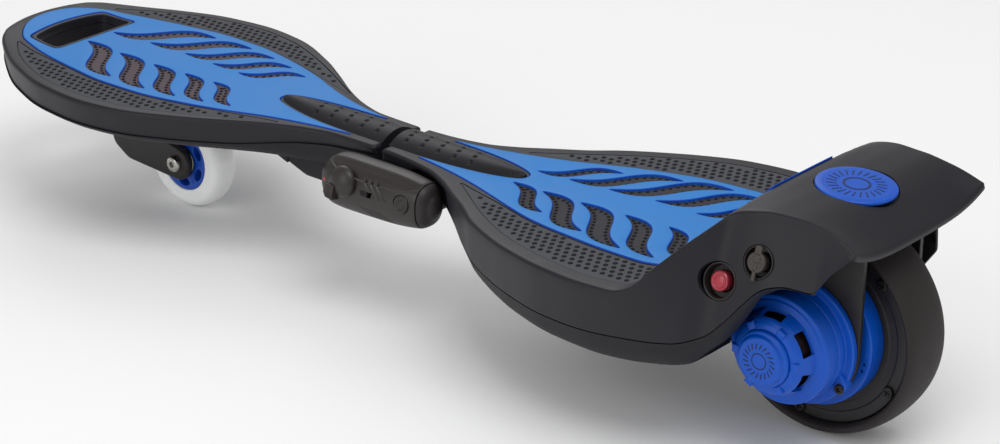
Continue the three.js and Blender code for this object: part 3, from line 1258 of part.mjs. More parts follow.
makeFrontShell();
makeFrontHull();
makeGrip(frontDeck, 'front', () => grip.insertProud, (body) => body.subtract(slotThrough(slot.lip + fit)));
makeTorsionHousing();
makeTorsionBar();
makeTorsionCradle();
makeCasterTyre();
makeCasterHub();
makeCasterBolt();
makeCasterFork();
makeSwivel();
makeRearShell();
makeGrip(rearDeck, 'rear', rearProud, (body) => body);
makeEmblem();
makeTub();
makeElectronics();
makeYoke();
makeDriveTyre();
makeHub();
makeDriveAxle();
makeDriveFlange();
makePlanets();
makePinion();
makeMotorCover();
makeMotorRest();
makeSwitch();
makePort();
makeRemoteCase();
makeRemoteControls();
makeDock();

export default casterBoard;
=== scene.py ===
import math
import bpy
import bmesh
import numpy as np
from mathutils import Matrix, Vector, geometry


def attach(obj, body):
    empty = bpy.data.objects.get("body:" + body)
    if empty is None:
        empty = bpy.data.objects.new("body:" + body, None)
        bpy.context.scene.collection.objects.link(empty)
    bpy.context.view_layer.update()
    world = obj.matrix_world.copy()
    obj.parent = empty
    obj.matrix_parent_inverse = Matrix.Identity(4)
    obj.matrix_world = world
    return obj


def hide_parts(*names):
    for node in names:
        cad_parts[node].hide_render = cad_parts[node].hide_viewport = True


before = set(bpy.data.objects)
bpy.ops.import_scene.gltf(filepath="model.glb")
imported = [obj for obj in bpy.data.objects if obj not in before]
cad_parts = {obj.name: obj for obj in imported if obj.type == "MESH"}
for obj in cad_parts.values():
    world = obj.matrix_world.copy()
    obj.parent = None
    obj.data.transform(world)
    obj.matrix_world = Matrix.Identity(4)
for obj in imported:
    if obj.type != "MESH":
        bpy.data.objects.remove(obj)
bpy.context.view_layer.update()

# Shapes are worked out in millimetres, with x counted along the board from the split between the decks
splitAt = 26.396      # where the split lies in the row frame
mm = 0.001
sharpAngle = 38       # edges that turn by more degrees than this stay sharp
joinWithin, dropUnder = 2e-6, 1e-7      # metres: points nearer are joined, faces smaller go
evenRows = 0.866      # height of an even triangle with sides of 1


# Cubic pieces through the rows of a table, with slopes that never overshoot; spread averages
# the reading over a stretch to either side, which rounds the kinks
def readTable(table, u, spread=0.0):
    u = np.asarray(u, float)
    if spread:
        shifts, shares = np.linspace(-1, 1, 5), (1, 2, 3, 2, 1)
        return sum(w * readTable(table, u + k * spread) for k, w in zip(shifts, shares)) / sum(shares)
    x, y = np.asarray(table, float).T
    width = np.diff(x)
    rise = np.diff(y) / width
    before, after = rise[:-1], rise[1:]
    same = before * after > 0
    middle = np.where(same, 2 * before * after / np.where(same, before + after, 1), 0)
    slope = np.r_[rise[0], middle, rise[-1]]
    i = np.clip(np.searchsorted(x, u, side="right") - 1, 0, len(width) - 1)
    t = np.clip((u - x[i]) / width[i], 0, 1)
    return (y[i] * (2 * t**3 - 3 * t**2 + 1) + y[i + 1] * (3 * t**2 - 2 * t**3)
            + width[i] * (slope[i] * (t**3 - 2 * t**2 + t) + slope[i + 1] * (t**3 - t**2)))


# 0 before a, 1 after b, and t t (3 - 2 t) between
def ease(x, a, b):
    t = np.clip((np.asarray(x, float) - a) / (b - a), 0, 1)
    return t * t * (3 - 2 * t)


# A closed outline taken again at even steps, with its corners rounded by averaging over a stretch
def evenLoop(points, step, soft=0.0):
    points = np.asarray(points, float)
    closed = np.vstack([points, points[:1]])
    run = np.r_[0, np.cumsum(np.linalg.norm(np.diff(closed, axis=0), axis=1))]
    count = max(8, int(round(run[-1] / step)))
    at = np.linspace(0, run[-1], count, endpoint=False)
    loop = np.stack([np.interp(at, run, closed[:, k]) for k in range(closed.shape[1])], -1)
    reach = int(round(soft / (run[-1] / count)))
    if reach:
        weights = np.bartlett(2 * reach + 3)[1:-1]
        weights /= weights.sum()
        loop = sum(w * np.roll(loop, k, axis=0) for k, w in zip(range(-reach, reach + 1), weights))
    return loop


# Twice the area inside a closed outline, positive if it runs anticlockwise
def turnOf(loop):
    x, y = loop[:, 0], loop[:, 1]
    return np.sum(x * np.roll(y, -1) - y * np.roll(x, -1))


# The outer outline anticlockwise and the holes clockwise, so that one rule finds the way out of the material
def facing(loops):
    return [l if (turnOf(l) > 0) == (k == 0) else l[::-1] for k, l in enumerate(loops)]


# Unit normals of a closed outline, out of the material: the tangent turned a quarter to the right
def normalsOf(loop):
    t = np.roll(loop, -1, axis=0) - np.roll(loop, 1, axis=0)
    t /= np.maximum(np.linalg.norm(t, axis=1, keepdims=True), 1e-9)
    return np.stack([t[:, 1], -t[:, 0]], -1)


# Which points lie inside an odd number of the outlines
def insideOf(points, loops):
    inside = np.zeros(len(points), bool)
    for loop in loops:
        a, b = loop, np.roll(loop, -1, axis=0)
        ya, yb = a[:, 1][None], b[:, 1][None]
        y = points[:, 1][:, None]
        crosses = (ya > y) != (yb > y)
        slope = (b[:, 0] - a[:, 0])[None] * (y - ya) / np.where(yb == ya, 1, yb - ya) + a[:, 0][None]
        inside ^= (np.count_nonzero(crosses & (points[:, 0][:, None] < slope), axis=1) % 2).astype(bool)
    return inside


# A grid of points made into quads, closed along either way
def gridPatch(points, closeRows=False, closeColumns=False, flip=False):
    n, m = points.shape[:2]
    index = np.arange(n * m).reshape(n, m)
    if closeRows:
        index = np.vstack([index, index[:1]])
    if closeColumns:
        index = np.hstack([index, index[:, :1]])
    quads = np.stack([index[:-1, :-1], index[1:, :-1], index[1:, 1:], index[:-1, 1:]], -1).reshape(-1, 4)
    return points.reshape(-1, 3), (quads[:, ::-1] if flip else quads)


# The area between outlines, filled with near-even triangles: the outlines and a staggered grid that keeps
# a little off them are triangulated together
def fillPlan(loops, spacing):
    low, high = loops[0].min(0), loops[0].max(0)
    xs = np.arange(low[0] + spacing / 2, high[0], spacing)
    ys = np.arange(low[1] + spacing / 2, high[1], spacing * evenRows)
    grid = np.stack(np.meshgrid(xs, ys), -1)
    grid[1::2, :, 0] += spacing / 2
    grid = grid.reshape(-1, 2)
    grid = grid[insideOf(grid, loops)] if len(grid) else grid
    edge = np.vstack(loops)
    for k in range(0, len(edge), 400):
        near = np.linalg.norm(grid[:, None] - edge[None, k:k + 400], axis=2).min(1)
        grid = grid[near > 0.55 * spacing]
    starts = np.cumsum([0] + [len(l) for l in loops])
    edges = [(s + i, s + (i + 1) % len(l)) for s, l in zip(starts, loops) for i in range(len(l))]
    points = [Vector(p) for p in np.vstack([edge, grid]).tolist()]
    verts, _, faces, *_ = geometry.delaunay_2d_cdt(points, edges, [], 0, 1e-7)
    flat = np.array([tuple(v) for v in verts])
    tris = np.array([f for f in faces if len(f) == 3], int)
    tris = tris[insideOf(flat[tris].mean(1), loops)]
    a, b, c = flat[tris[:, 0]], flat[tris[:, 1]], flat[tris[:, 2]]
    turn = (b[:, 0] - a[:, 0]) * (c[:, 1] - a[:, 1]) - (b[:, 1] - a[:, 1]) * (c[:, 0] - a[:, 0])
    tris = tris[np.abs(turn) > 1e-9]
    turn = turn[np.abs(turn) > 1e-9]
    tris[turn < 0] = tris[turn < 0][:, ::-1]
    return flat, tris


# A profile carried round a closed outline: each of its rows moves out by its first number, up by its second
def carry(loop, outs, ups, place, flip=False):
    outs = np.broadcast_to(np.asarray(outs, float), (len(loop), np.shape(outs)[-1]))
    ups = np.broadcast_to(np.asarray(ups, float), outs.shape)
    at = loop[:, None] + normalsOf(loop)[:, None] * outs[..., None]
    points = place(at.reshape(-1, 2), ups.reshape(-1)).reshape(len(loop), -1, 3)
    return gridPatch(points, closeRows=True, flip=flip)


# A quarter round from the inside top to the outside: r in and 0 up, to 0 in and r down; one point if r is 0
def quarter(r):
    a = np.linspace(0, math.pi / 2, 5 if r else 1)
    return -r * (1 - np.sin(a)), -r * (1 - np.cos(a))


# A plate between outlines, from low to high, with rounded upper edges and, if asked, lower ones;
# the rounding above may be a list with one size for each outline
def plateBody(loops, place, low, high, roundHigh=0.5, roundLow=0.0, spacing=4.0):
    loops = facing([np.asarray(l, float) for l in loops])
    rounds = roundHigh if isinstance(roundHigh, list) else [roundHigh] * len(loops)
    lowOuts, lowUps = quarter(roundLow)
    patches = []
    for loop, size in zip(loops, rounds):
        outs, ups = quarter(size)
        patches.append(carry(loop, np.r_[outs, lowOuts[::-1]], np.r_[high + ups, low - lowUps[::-1]],
                             place, flip=True))
    flat, tris = fillPlan([l - normalsOf(l) * r for l, r in zip(loops, rounds)], spacing)
    patches.append((place(flat, np.full(len(flat), float(high))), tris))
    flat, tris = fillPlan([l - normalsOf(l) * roundLow for l in loops], spacing * 1.5)
    patches.append((place(flat, np.full(len(flat), float(low))), tris[:, ::-1]))
    return patches


# Placing for plates that stand across the board: outline in x and z, height in y
def upright(points, y):
    return np.stack([points[:, 0], y, points[:, 1]], -1)


# A profile of (radius, y) turned about a line along y through (x, z); sharp rows are kept, and
# every corner is rounded by a small arc worked out from its two sides
def turned(profile, x, z, sides=64, soft=0.0, closed=False):
    rows = roundCorners(profile, soft, closed) if soft else np.asarray(profile, float)
    a = np.linspace(0, 2 * math.pi, sides, endpoint=False)
    r, y = rows[:, 0][:, None], rows[:, 1][:, None]
    points = np.stack([x + r * np.cos(a), y + 0 * a, z + r * np.sin(a)], -1)
    return gridPatch(points, closeRows=closed, closeColumns=True)


# Each corner of a line of points replaced by an arc that starts a little before it and ends a little after:
# (1 - t)^2 p + 2 t (1 - t) corner + t^2 q, from a point p on one side to a point q on the other
def roundCorners(points, radius, closed=False):
    points = np.asarray(points, float)
    n = len(points)
    rows = []
    for i in range(n):
        before, here, after = points[i - 1], points[i], points[(i + 1) % n]
        if not closed and i in (0, n - 1):
            rows.append(here[None])
            continue
        a, b = before - here, after - here
        la, lb = np.linalg.norm(a), np.linalg.norm(b)
        reach = min(radius, 0.45 * la, 0.45 * lb)
        if reach < 1e-4:
            rows.append(here[None])
            continue
        p, q = here + a / la * reach, here + b / lb * reach
        t = np.linspace(0, 1, 5)[:, None]
        rows.append((1 - t)**2 * p + 2 * t * (1 - t) * here + t**2 * q)
    return np.vstack(rows)


# Patches turned and moved by a matrix
def moved(patches, matrix):
    m = np.array(matrix)
    return [(v @ m[:3, :3].T + m[:3, 3], f) for v, f in patches]


# Points on an arc about (x, z)
def arc(x, z, r, start, end, steps):
    a = np.radians(np.linspace(start, end, steps + 1))
    return np.stack([x + r * np.cos(a), z + r * np.sin(a)], -1)


def circle(x, y, r, count=72):
    a = np.linspace(0, 2 * math.pi, count, endpoint=False)
    return np.stack([x + r * np.cos(a), y + r * np.sin(a)], -1)


# Plan points turned clockwise by q about the origin, then moved to (x, z)
def spun(points, q, x=0.0, z=0.0):
    return points @ np.array([[math.cos(q), -math.sin(q)], [math.sin(q), math.cos(q)]]) + (x, z)


# A rounded box outline from (x0, y0) to (x1, y1)
def boxLoop(x0, y0, x1, y1, step, soft):
    return evenLoop([(x0, y0), (x1, y0), (x1, y1), (x0, y1)], step, soft)


# A mesh object from patches in millimetres: points that meet are joined, and edges over the angle stay sharp.
# A closed shape has its faces turned outwards; an open one keeps the way in which its patches were made.
def makeMesh(name, patches, recalc=True, sharp=sharpAngle, masks=None):
    points = np.vstack([p for p, _ in patches])
    starts = np.cumsum([0] + [len(p) for p, _ in patches])
    mesh = bpy.data.meshes.new(name)
    corners = np.concatenate([(f + s).reshape(-1) for (_, f), s in zip(patches, starts)])
    sizes = np.concatenate([np.full(len(f), f.shape[1]) for _, f in patches])
    mesh.vertices.add(len(points))
    scaled = points * mm
    scaled[:, 0] += splitAt * mm
    mesh.vertices.foreach_set("co", scaled.astype(np.float32).reshape(-1))
    mesh.loops.add(len(corners))
    mesh.loops.foreach_set("vertex_index", corners.astype(np.int32))
    mesh.polygons.add(len(sizes))
    mesh.polygons.foreach_set("loop_start", np.r_[0, np.cumsum(sizes)[:-1]].astype(np.int32))
    mesh.update(calc_edges=True)
    mesh.validate()
    for key, values in (masks or {}).items():
        mesh.attributes.new(key, "FLOAT", "POINT").data.foreach_set("value", values.astype(np.float32))
    shape = bmesh.new()
    shape.from_mesh(mesh)
    bmesh.ops.remove_doubles(shape, verts=shape.verts, dist=joinWithin)
    bmesh.ops.dissolve_degenerate(shape, edges=shape.edges, dist=dropUnder)
    if recalc:
        bmesh.ops.recalc_face_normals(shape, faces=shape.faces)
    shape.to_mesh(mesh)
    shape.free()
    mesh.shade_smooth()
    mesh.set_sharp_from_angle(angle=math.radians(sharp))
    obj = bpy.data.objects.new(name, mesh)
    bpy.context.collection.objects.link(obj)
    return obj


# Gives a mesh object its material and body, and hides the CAD nodes that it stands for
def finishPiece(obj, body, material, replaces=()):
    obj.data.materials.clear()
    obj.data.materials.append(material)
    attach(obj, body)
    if replaces:
        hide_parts(*replaces)
    return obj


def makePiece(name, patches, body, slotName, material, replaces=(), **form):
    return finishPiece(makeMesh(name, patches, **form), body, material, replaces)


# Cuts closed bodies out of an object, and puts the result in its mesh
def cutOut(obj, cutters, sharp=sharpAngle):
    for cutter in cutters:
        step = obj.modifiers.new("cut", "BOOLEAN")
        step.operation = "DIFFERENCE"
        step.solver = "EXACT"
        step.object = cutter
    graph = bpy.context.evaluated_depsgraph_get()
    mesh = bpy.data.meshes.new_from_object(obj.evaluated_get(graph))
    obj.modifiers.clear()
    obj.data = mesh
    for cutter in cutters:
        bpy.data.objects.remove(cutter)
    mesh.shade_smooth()
    mesh.set_sharp_from_angle(angle=math.radians(sharp))
    return obj


# Colours and materials

def colour(hexCode):
    parts = [int(hexCode[i:i + 2], 16) / 255 for i in (1, 3, 5)]
    return [p / 12.92 if p <= 0.04045 else ((p + 0.055) / 1.055) ** 2.4 for p in parts] + [1]


# Adds one node: inputs by name or number take values or other nodes' sockets, the rest are its settings
def addNode(tree, kind, inputs=None, **settings):
    node = tree.nodes.new(kind)
    for key, value in settings.items():
        setattr(node, key, value)
    for key, value in (inputs or {}).items():
        if isinstance(value, bpy.types.NodeSocket):
            tree.links.new(value, node.inputs[key])
        else:
            node.inputs[key].default_value = value
    return node


# A moulded or cast skin: two near tones in soft clouds, a fine grain in the surface, and gloss that
# varies with the clouds. Sizes are in millimetres, so a pattern of g mm has the scale 1000 / g.
def skin(name, finish):
    made = bpy.data.materials.new(name)
    made.use_nodes = True
    tree = made.node_tree
    tree.nodes.clear()
    place = addNode(tree, "ShaderNodeTexCoord").outputs["Object"]
    clouds = addNode(tree, "ShaderNodeTexNoise",
                     {"Vector": place, "Scale": 1000 / finish["cloud"], "Detail": 3.0, "Roughness": 0.6})
    grain = addNode(tree, "ShaderNodeTexNoise",
                    {"Vector": place, "Scale": 1000 / finish["grain"], "Detail": 2.0, "Roughness": 0.5})
    tones = addNode(tree, "ShaderNodeMix", {0: clouds.outputs["Fac"], 6: colour(finish["dark"]),
                                            7: colour(finish["light"])}, data_type="RGBA")
    tone = tones.outputs[2]
    for mask, shade, amount in finish.get("masks", ()):
        weight = addNode(tree, "ShaderNodeAttribute", attribute_name=mask).outputs["Fac"]
        share = addNode(tree, "ShaderNodeMath", {0: weight, 1: amount}, operation="MULTIPLY").outputs[0]
        tone = addNode(tree, "ShaderNodeMix", {0: share, 6: tone, 7: colour(shade)},
                       data_type="RGBA").outputs[2]
    gloss = addNode(tree, "ShaderNodeMapRange", {0: clouds.outputs["Fac"], 1: 0.3, 2: 0.7,
                                                 3: finish["gloss"][0], 4: finish["gloss"][1]})
    relief = addNode(tree, "ShaderNodeBump", {"Height": grain.outputs["Fac"], "Strength": 1.0,
                                              "Distance": finish["depth"] * mm})
    shader = addNode(tree, "ShaderNodeBsdfPrincipled",
                     {"Base Color": tone, "Roughness": gloss.outputs[0], "Normal": relief.outputs["Normal"]})
    for key, value in finish.get("shader", {}).items():
        shader.inputs[key].default_value = value
    end = addNode(tree, "ShaderNodeOutputMaterial", {"Surface": shader.outputs["BSDF"]})
    end.location = (400, 0)
    return made


# Injection-moulded ABS with a fine spark-eroded texture: soft highlights, no mirror
caseBlack = skin("case_black_textured_abs", {
    "light": "#1c1c23", "dark": "#18181e", "cloud": 60, "grain": 0.5, "depth": 0.012, "gloss": (0.42, 0.48),
    "shader": {"Specular IOR Level": 0.34}})
# The same moulding underneath, duller
hullBlack = skin("hull_black_textured_abs", {
    "light": "#1b1b20", "dark": "#17161a", "cloud": 60, "grain": 0.5, "depth": 0.012, "gloss": (0.54, 0.6),
    "shader": {"Specular IOR Level": 0.3}})
# Satin-moulded blue plastic: even; its rounded cut edges are painted deeper blue, painted shade on the rims
deckBlue = skin("deck_blue_satin_abs", {
    "light": "#1a7ac6", "dark": "#1872bd", "cloud": 50, "grain": 0.35, "depth": 0.006, "gloss": (0.42, 0.5),
    "masks": (("edge", "#0b3ea8", 0.95),), "shader": {"Specular IOR Level": 0.22}})
# Deeper blue moulding of the drive; the rings and dashes marked on its cap and badge are painted nearly navy,
# painted shade standing in for grooves
motorBlue = skin("motor_blue_moulded_abs", {
    "light": "#0052c0", "dark": "#0049b0", "cloud": 40, "grain": 0.4, "depth": 0.008, "gloss": (0.34, 0.42),
    "masks": (("edge", "#041c4a", 0.95),), "shader": {"Specular IOR Level": 0.35}})
# Soft grip rubber: matt and finely pebbled; its nubs are painted near black as painted shade, for the shade
# on their sides
padRubber = skin("grip_pad_rubber", {
    "light": "#4b4c52", "dark": "#434449", "cloud": 18, "grain": 0.6, "depth": 0.03, "gloss": (0.7, 0.8),
    "masks": (("nub_shade", "#17161a", 1.0),), "shader": {"Specular IOR Level": 0.3}})
# Softer fills under the windows: brownish in front, neutral behind; on both the nubs are painted near black
# as painted shade
windowWarm = skin("grip_fill_warm_rubber", {
    "light": "#574c52", "dark": "#4d444a", "cloud": 14, "grain": 0.6, "depth": 0.03, "gloss": (0.7, 0.8),
    "masks": (("nub_shade", "#17161a", 1.0),), "shader": {"Specular IOR Level": 0.3}})
windowDark = skin("grip_fill_dark_rubber", {
    "light": "#38373d", "dark": "#2f2e34", "cloud": 14, "grain": 0.6, "depth": 0.03, "gloss": (0.7, 0.8),
    "masks": (("nub_shade", "#121114", 1.0),), "shader": {"Specular IOR Level": 0.3}})
# Satin ABS, smoother than the case; its pits are painted near black, painted shade in the hollows
spineBlack = skin("spine_black_satin_abs", {
    "light": "#17171d", "dark": "#141419", "cloud": 40, "grain": 0.4, "depth": 0.008, "gloss": (0.42, 0.48),
    "masks": (("pit_shade", "#08080a", 1.0),), "shader": {"Specular IOR Level": 0.28}})
# Cast polyurethane: milky, with a little light coming through and an uneven sheen
wheelWhite = skin("caster_urethane_milky", {
    "light": "#f9faf9", "dark": "#f1f3f2", "cloud": 25, "grain": 1.5, "depth": 0.02, "gloss": (0.32, 0.46),
    "shader": {"Subsurface Weight": 0.08, "Subsurface Scale": 0.004}})
# Moulded nylon: a clean blue with a soft sheen
casterBlue = skin("caster_hub_blue_nylon", {
    "light": "#0f4cb8", "dark": "#0c42a6", "cloud": 20, "grain": 0.4, "depth": 0.008, "gloss": (0.36, 0.44)})
# Solid tyre rubber: warm black, dull, with a coarse grain
tyreRubber = skin("drive_tyre_rubber", {
    "light": "#262120", "dark": "#201b1b", "cloud": 35, "grain": 0.7, "depth": 0.025, "gloss": (0.62, 0.72),
    "shader": {"Specular IOR Level": 0.4}})
# Glass-filled nylon: warm black, half dull
hubBlack = skin("hub_black_glass_nylon", {
    "light": "#1f1b1b", "dark": "#181515", "cloud": 30, "grain": 0.5, "depth": 0.012, "gloss": (0.44, 0.54)})
# Powder-coated steel and cast alloy: fine orange peel
coatBlack = skin("black_powder_coat", {
    "light": "#231f1e", "dark": "#1b1817", "cloud": 30, "grain": 0.9, "depth": 0.02, "gloss": (0.4, 0.5),
    "shader": {"Metallic": 0.15}})
# Zinc-plated, oxide-black and oiled steel: bright, dark and grey metal sheens
steelBright = skin("steel_zinc_plated", {
    "light": "#c3c1bb", "dark": "#aaa8a3", "cloud": 12, "grain": 0.3, "depth": 0.004, "gloss": (0.22, 0.36),
    "shader": {"Metallic": 1.0}})
steelDark = skin("steel_black_oxide", {
    "light": "#2f2d2d", "dark": "#232121", "cloud": 10, "grain": 0.3, "depth": 0.006, "gloss": (0.3, 0.42),
    "shader": {"Metallic": 0.6}})
springSteel = skin("steel_oiled_bar", {
    "light": "#5a5856", "dark": "#474543", "cloud": 15, "grain": 0.5, "depth": 0.01, "gloss": (0.3, 0.42),
    "shader": {"Metallic": 0.9}})
# Soft-touch paint over ABS: warm grey-brown, velvety
remoteGrey = skin("remote_soft_touch_grey", {
    "light": "#2b2524", "dark": "#241f1e", "cloud": 30, "grain": 0.4, "depth": 0.008, "gloss": (0.36, 0.44)})
# Bare ABS beside the paint: the same warm black, duller
capBlack = skin("remote_cap_black_abs", {
    "light": "#241f1f", "dark": "#1b1717", "cloud": 30, "grain": 0.5, "depth": 0.01, "gloss": (0.46, 0.54)})
# Clear red polycarbonate: a deep red with light coming through, and a glossy coat; the red is painted darker
# towards the rim, a painted glow that leaves the middle lighter as if lit from within
lensRed = skin("switch_lens_red_polycarbonate", {
    "light": "#b32f40", "dark": "#a02636", "cloud": 6, "grain": 0.4, "depth": 0.004, "gloss": (0.18, 0.26),
    "masks": (("ring", "#7d1a28", 0.7),),
    "shader": {"Coat Weight": 0.4, "Subsurface Weight": 0.2, "Subsurface Scale": 0.002}})
# Moulded sealing rubber: matt grey-brown
plugGrey = skin("charge_plug_grey_rubber", {
    "light": "#3f3936", "dark": "#35302d", "cloud": 8, "grain": 0.5, "depth": 0.02, "gloss": (0.52, 0.62)})
# Machined natural nylon: waxy off-white
gearNylon = skin("gear_natural_nylon", {
    "light": "#dbd6c7", "dark": "#cec9b9", "cloud": 12, "grain": 0.5, "depth": 0.01, "gloss": (0.38, 0.48)})
# Heat-shrunk PVC sleeve: glossy blue that lies in soft waves over the cells
wrapBlue = skin("battery_shrink_wrap_blue", {
    "light": "#35639a", "dark": "#2a558a", "cloud": 25, "grain": 6.0, "depth": 0.3, "gloss": (0.2, 0.34)})
# Etched board under solder mask: green with a fine relief
boardGreen = skin("circuit_board_green_mask", {
    "light": "#2f4436", "dark": "#24372b", "cloud": 4, "grain": 1.6, "depth": 0.06, "gloss": (0.26, 0.4)})
# Wound and lacquered wire: brown copper glints
windingCopper = skin("motor_can_lacquered_copper", {
    "light": "#4c3728", "dark": "#3c2b20", "cloud": 5, "grain": 0.8, "depth": 0.05, "gloss": (0.3, 0.42),
    "shader": {"Metallic": 0.8}})
# Printed foil round a dry cell: even, coppery and shiny
cellFoil = skin("cell_sleeve_copper_top", {
    "light": "#8f6c4a", "dark": "#7c5c3e", "cloud": 10, "grain": 0.5, "depth": 0.01, "gloss": (0.24, 0.36),
    "shader": {"Metallic": 0.6}})
print("materials made")


# The decks' shapes, in shares of each deck's length and of the size that each table follows

frontSize = {"length": 382.0, "half": 103.5, "bulge": 10.3, "rise": 10.0, "depth": 30.0, "top": 107.0}
rearSize = {"length": 424.5, "half": 120.0, "crest": 65.4, "top": 107.0}
splitHalf = 3.25

frontRimTable = [(0, .242), (.105, .256), (.17, .319), (.23, .425), (.309, .609), (.382, .768), (.505, .957),
                 (.597, 1), (.702, .961), (.819, .816), (.919, .609), (.958, .49), (.973, .405)]
frontRiseTable = [(0, 0), (.17, .1), (.309, .25), (.6, .4), (.85, .5), (.93, .72), (.973, 1)]
frontWallTable = [(0, .235), (.17, .4), (.309, .6), (.85, .62), (.973, .4)]
frontDepthTable = [(0, 1), (.17, .97), (.309, .93), (.85, .95), (.94, .75), (.973, .55)]
frontFootTable = [(0, .68), (.17, .66), (.309, .68), (.505, .74), (.85, .72), (.973, .6)]
rearRimTable = [(0, .208), (.05, .22), (.123, .267), (.17, .342), (.217, .45), (.265, .558), (.312, .683),
                (.371, .796), (.429, .883), (.517, .971), (.594, 1), (.649, .992), (.681, .971), (.71, .917),
                (.74, .817), (.771, .717), (.797, .642), (.832, .629), (.861, .61), (.898, .596), (.94, .59),
                (.967, .597), (1, .62)]
rearRiseTable = [(0, 0), (.123, -.008), (.265, -.008), (.371, .008), (.517, .046), (.594, .053), (.649, .061),
                 (.681, .13), (.71, .336), (.74, .55), (.771, .749), (.797, .902), (.832, .973), (.861, 1),
                 (.898, 1), (.94, .97), (.967, .927), (1, .833)]
rearCrownTable = [(0, 0), (.681, 0), (.771, .02), (.797, .05), (.832, .006), (.861, -.018), (.898, -.03),
                  (.94, -.062), (.967, -.115), (1, -.156)]
rearFootTable = [(0, .2), (.123, .258), (.17, .333), (.217, .43), (.265, .54), (.312, .66), (.371, .775),
                 (.429, .862), (.517, .95), (.594, .975), (.681, .95), (.75, .9), (.785, .828), (.82, .79),
                 (.861, .742), (.9, .705), (.94, .672), (.97, .648), (1, .622)]
rearPartingTable = [(0, .935), (.123, .92), (.17, .87), (.217, .8), (.265, .72), (.312, .71), (.517, .715),
                    (.594, .724), (.681, .75), (.75, .785), (.787, .841), (.82, .972), (.844, 1.093),
                    (.863, 1.178), (.879, 1.215), (.905, 1.238), (.94, 1.229), (.962, 1.341), (1, 1.503)]
tubBottomTable = [(0, .72), (.15, .72), (.217, .64), (.265, .57), (.312, .53), (.371, .495), (.429, .467),
                  (.517, .453), (.594, .453), (.649, .467), (.681, .486), (.735, .533), (.771, .654),
                  (.811, .794), (.844, .98), (.863, 1.115), (.879, 1.158), (.905, 1.183), (.94, 1.185)]


# A reading along a deck at x: one of its sizes times the table at |x| / length
def alongDeck(size, key, table, x, spread):
    return size[key] * readTable(table, np.abs(x) / size["length"], spread)


def frontHalf(x):
    return alongDeck(frontSize, "half", frontRimTable, x, 0.008)


def frontTop(x):
    return frontSize["top"] + alongDeck(frontSize, "rise", frontRiseTable, x, 0.02)


def frontWall(x):
    return alongDeck(frontSize, "depth", frontWallTable, x, 0.02)


def frontDepth(x):
    return alongDeck(frontSize, "depth", frontDepthTable, x, 0.02)


def rearHalf(x):
    return alongDeck(rearSize, "half", rearRimTable, x, 0.006)


def rearEdge(x):
    return rearSize["top"] + alongDeck(rearSize, "crest", rearRiseTable, x, 0.008)


# Height of the rear deck's top: the edge's height plus the crown, which falls off as 1 - |v|^3.5
# towards the rim
def rearTop(x, y):
    crown = alongDeck(rearSize, "crest", rearCrownTable, x, 0.012)
    v = np.minimum(np.abs(y) / rearHalf(x), 1)
    return rearEdge(x) + crown * (1 - v ** 3.5)


def rearFoot(x):
    return alongDeck(rearSize, "half", rearFootTable, x, 0.008)


def rearParting(x):
    return alongDeck(rearSize, "top", rearPartingTable, x, 0.005)


def tubBottom(x):
    return alongDeck(rearSize, "top", tubBottomTable, x, 0.008)


# Places plan points at a height over a deck's top
def onFront(points, lift):
    return np.stack([points[:, 0], points[:, 1], frontTop(points[:, 0]) + lift], -1)


def onRear(points, lift):
    return np.stack([points[:, 0], points[:, 1], rearTop(points[:, 0], points[:, 1]) + lift], -1)


# Plan outlines of the decks: out along one rim, round the end, and back along the other
def frontOutline():
    x = np.linspace(splitHalf, 0.973 * frontSize["length"], 240)
    half = frontHalf(x)
    v = np.linspace(1, -1, 60)[1:-1]
    nose = np.stack([x[-1] + frontSize["bulge"] * (1 - v**2), v * half[-1]], -1)
    return evenLoop(np.vstack([np.stack([x, half], -1), nose, np.stack([x, -half], -1)[::-1]]), 1.5, 3.5)


def rearOutline():
    x = np.linspace(-splitHalf, -rearSize["length"] + 0.2, 300)
    half = rearHalf(x)
    return evenLoop(np.vstack([np.stack([x, half], -1), np.stack([x, -half], -1)[::-1]]), 1.6, 2.2)


spineForm = {"front": 114.6, "rear": -113.4, "half": 17.3, "height": 6.2, "pitch": 14.7,
             "frontRow": 15.9, "rearRow": -11.6, "pitRadius": 2.2, "pitDepth": 1.3,
             "across": (-9.8, -3.3, 3.3, 9.8), "lean": 0.13}
spineTaper = [(0, 1), (.25, .995), (.5, .93), (.7, .78), (.85, .57), (.95, .32), (1, .0)]


# Half-width of a spine cover at x: round-nosed, so the last part of the taper follows a root
def spineHalf(x, tip):
    u = np.clip(np.abs(x / tip), 0, 1)
    return spineForm["half"] * np.where(u > 0.85, 0.57 * np.sqrt(np.maximum(0, (1 - u) / 0.15)),
                                        readTable(spineTaper, u))


insertForm = {"low": -1.0, "proud": 0.8, "rearRise": 1.0, "round": 0.8, "notch": 1.6,
              "frontEnds": (31.0, 367.3), "frontCorner": 24.0, "rearEnds": (-33.2, -337.4)}


# An insert's outline: along its outer edge from one fork tip, across, back, and in along the spine's notch.
# Near a rounded far corner the edge draws in by 0.34 t^2.4.
def insertOutline(table, size, tip, ends, corner=0.0):
    tipAt, farCorner = ends
    notch = insertForm["notch"]
    x = np.linspace(tipAt, farCorner, 160)
    end = np.clip((x - farCorner) / corner + 1, 0, 1) if corner else 0 * x
    outer = size["half"] * readTable(table, np.abs(x) / size["length"], 0.01) * (1 - 0.34 * end**2.4)
    notchX = np.linspace(tipAt, tip * (1 + notch / abs(tip)), 60)
    inner = spineHalf(notchX * tip / (notchX[-1]), tip) + notch
    inner[-1] = 0
    side = np.vstack([np.stack([notchX, inner], -1)[::-1], np.stack([x, outer], -1)])
    across = np.linspace(1, -1, 40)[1:-1] * side[-1, 1]
    last = np.stack([farCorner + 0.3 * corner * (1 - (across / side[-1, 1])**2), across], -1)
    points = np.vstack([side, last, (side * (1, -1))[::-1][:-1]])
    return evenLoop(points, 0.9, 2.0)


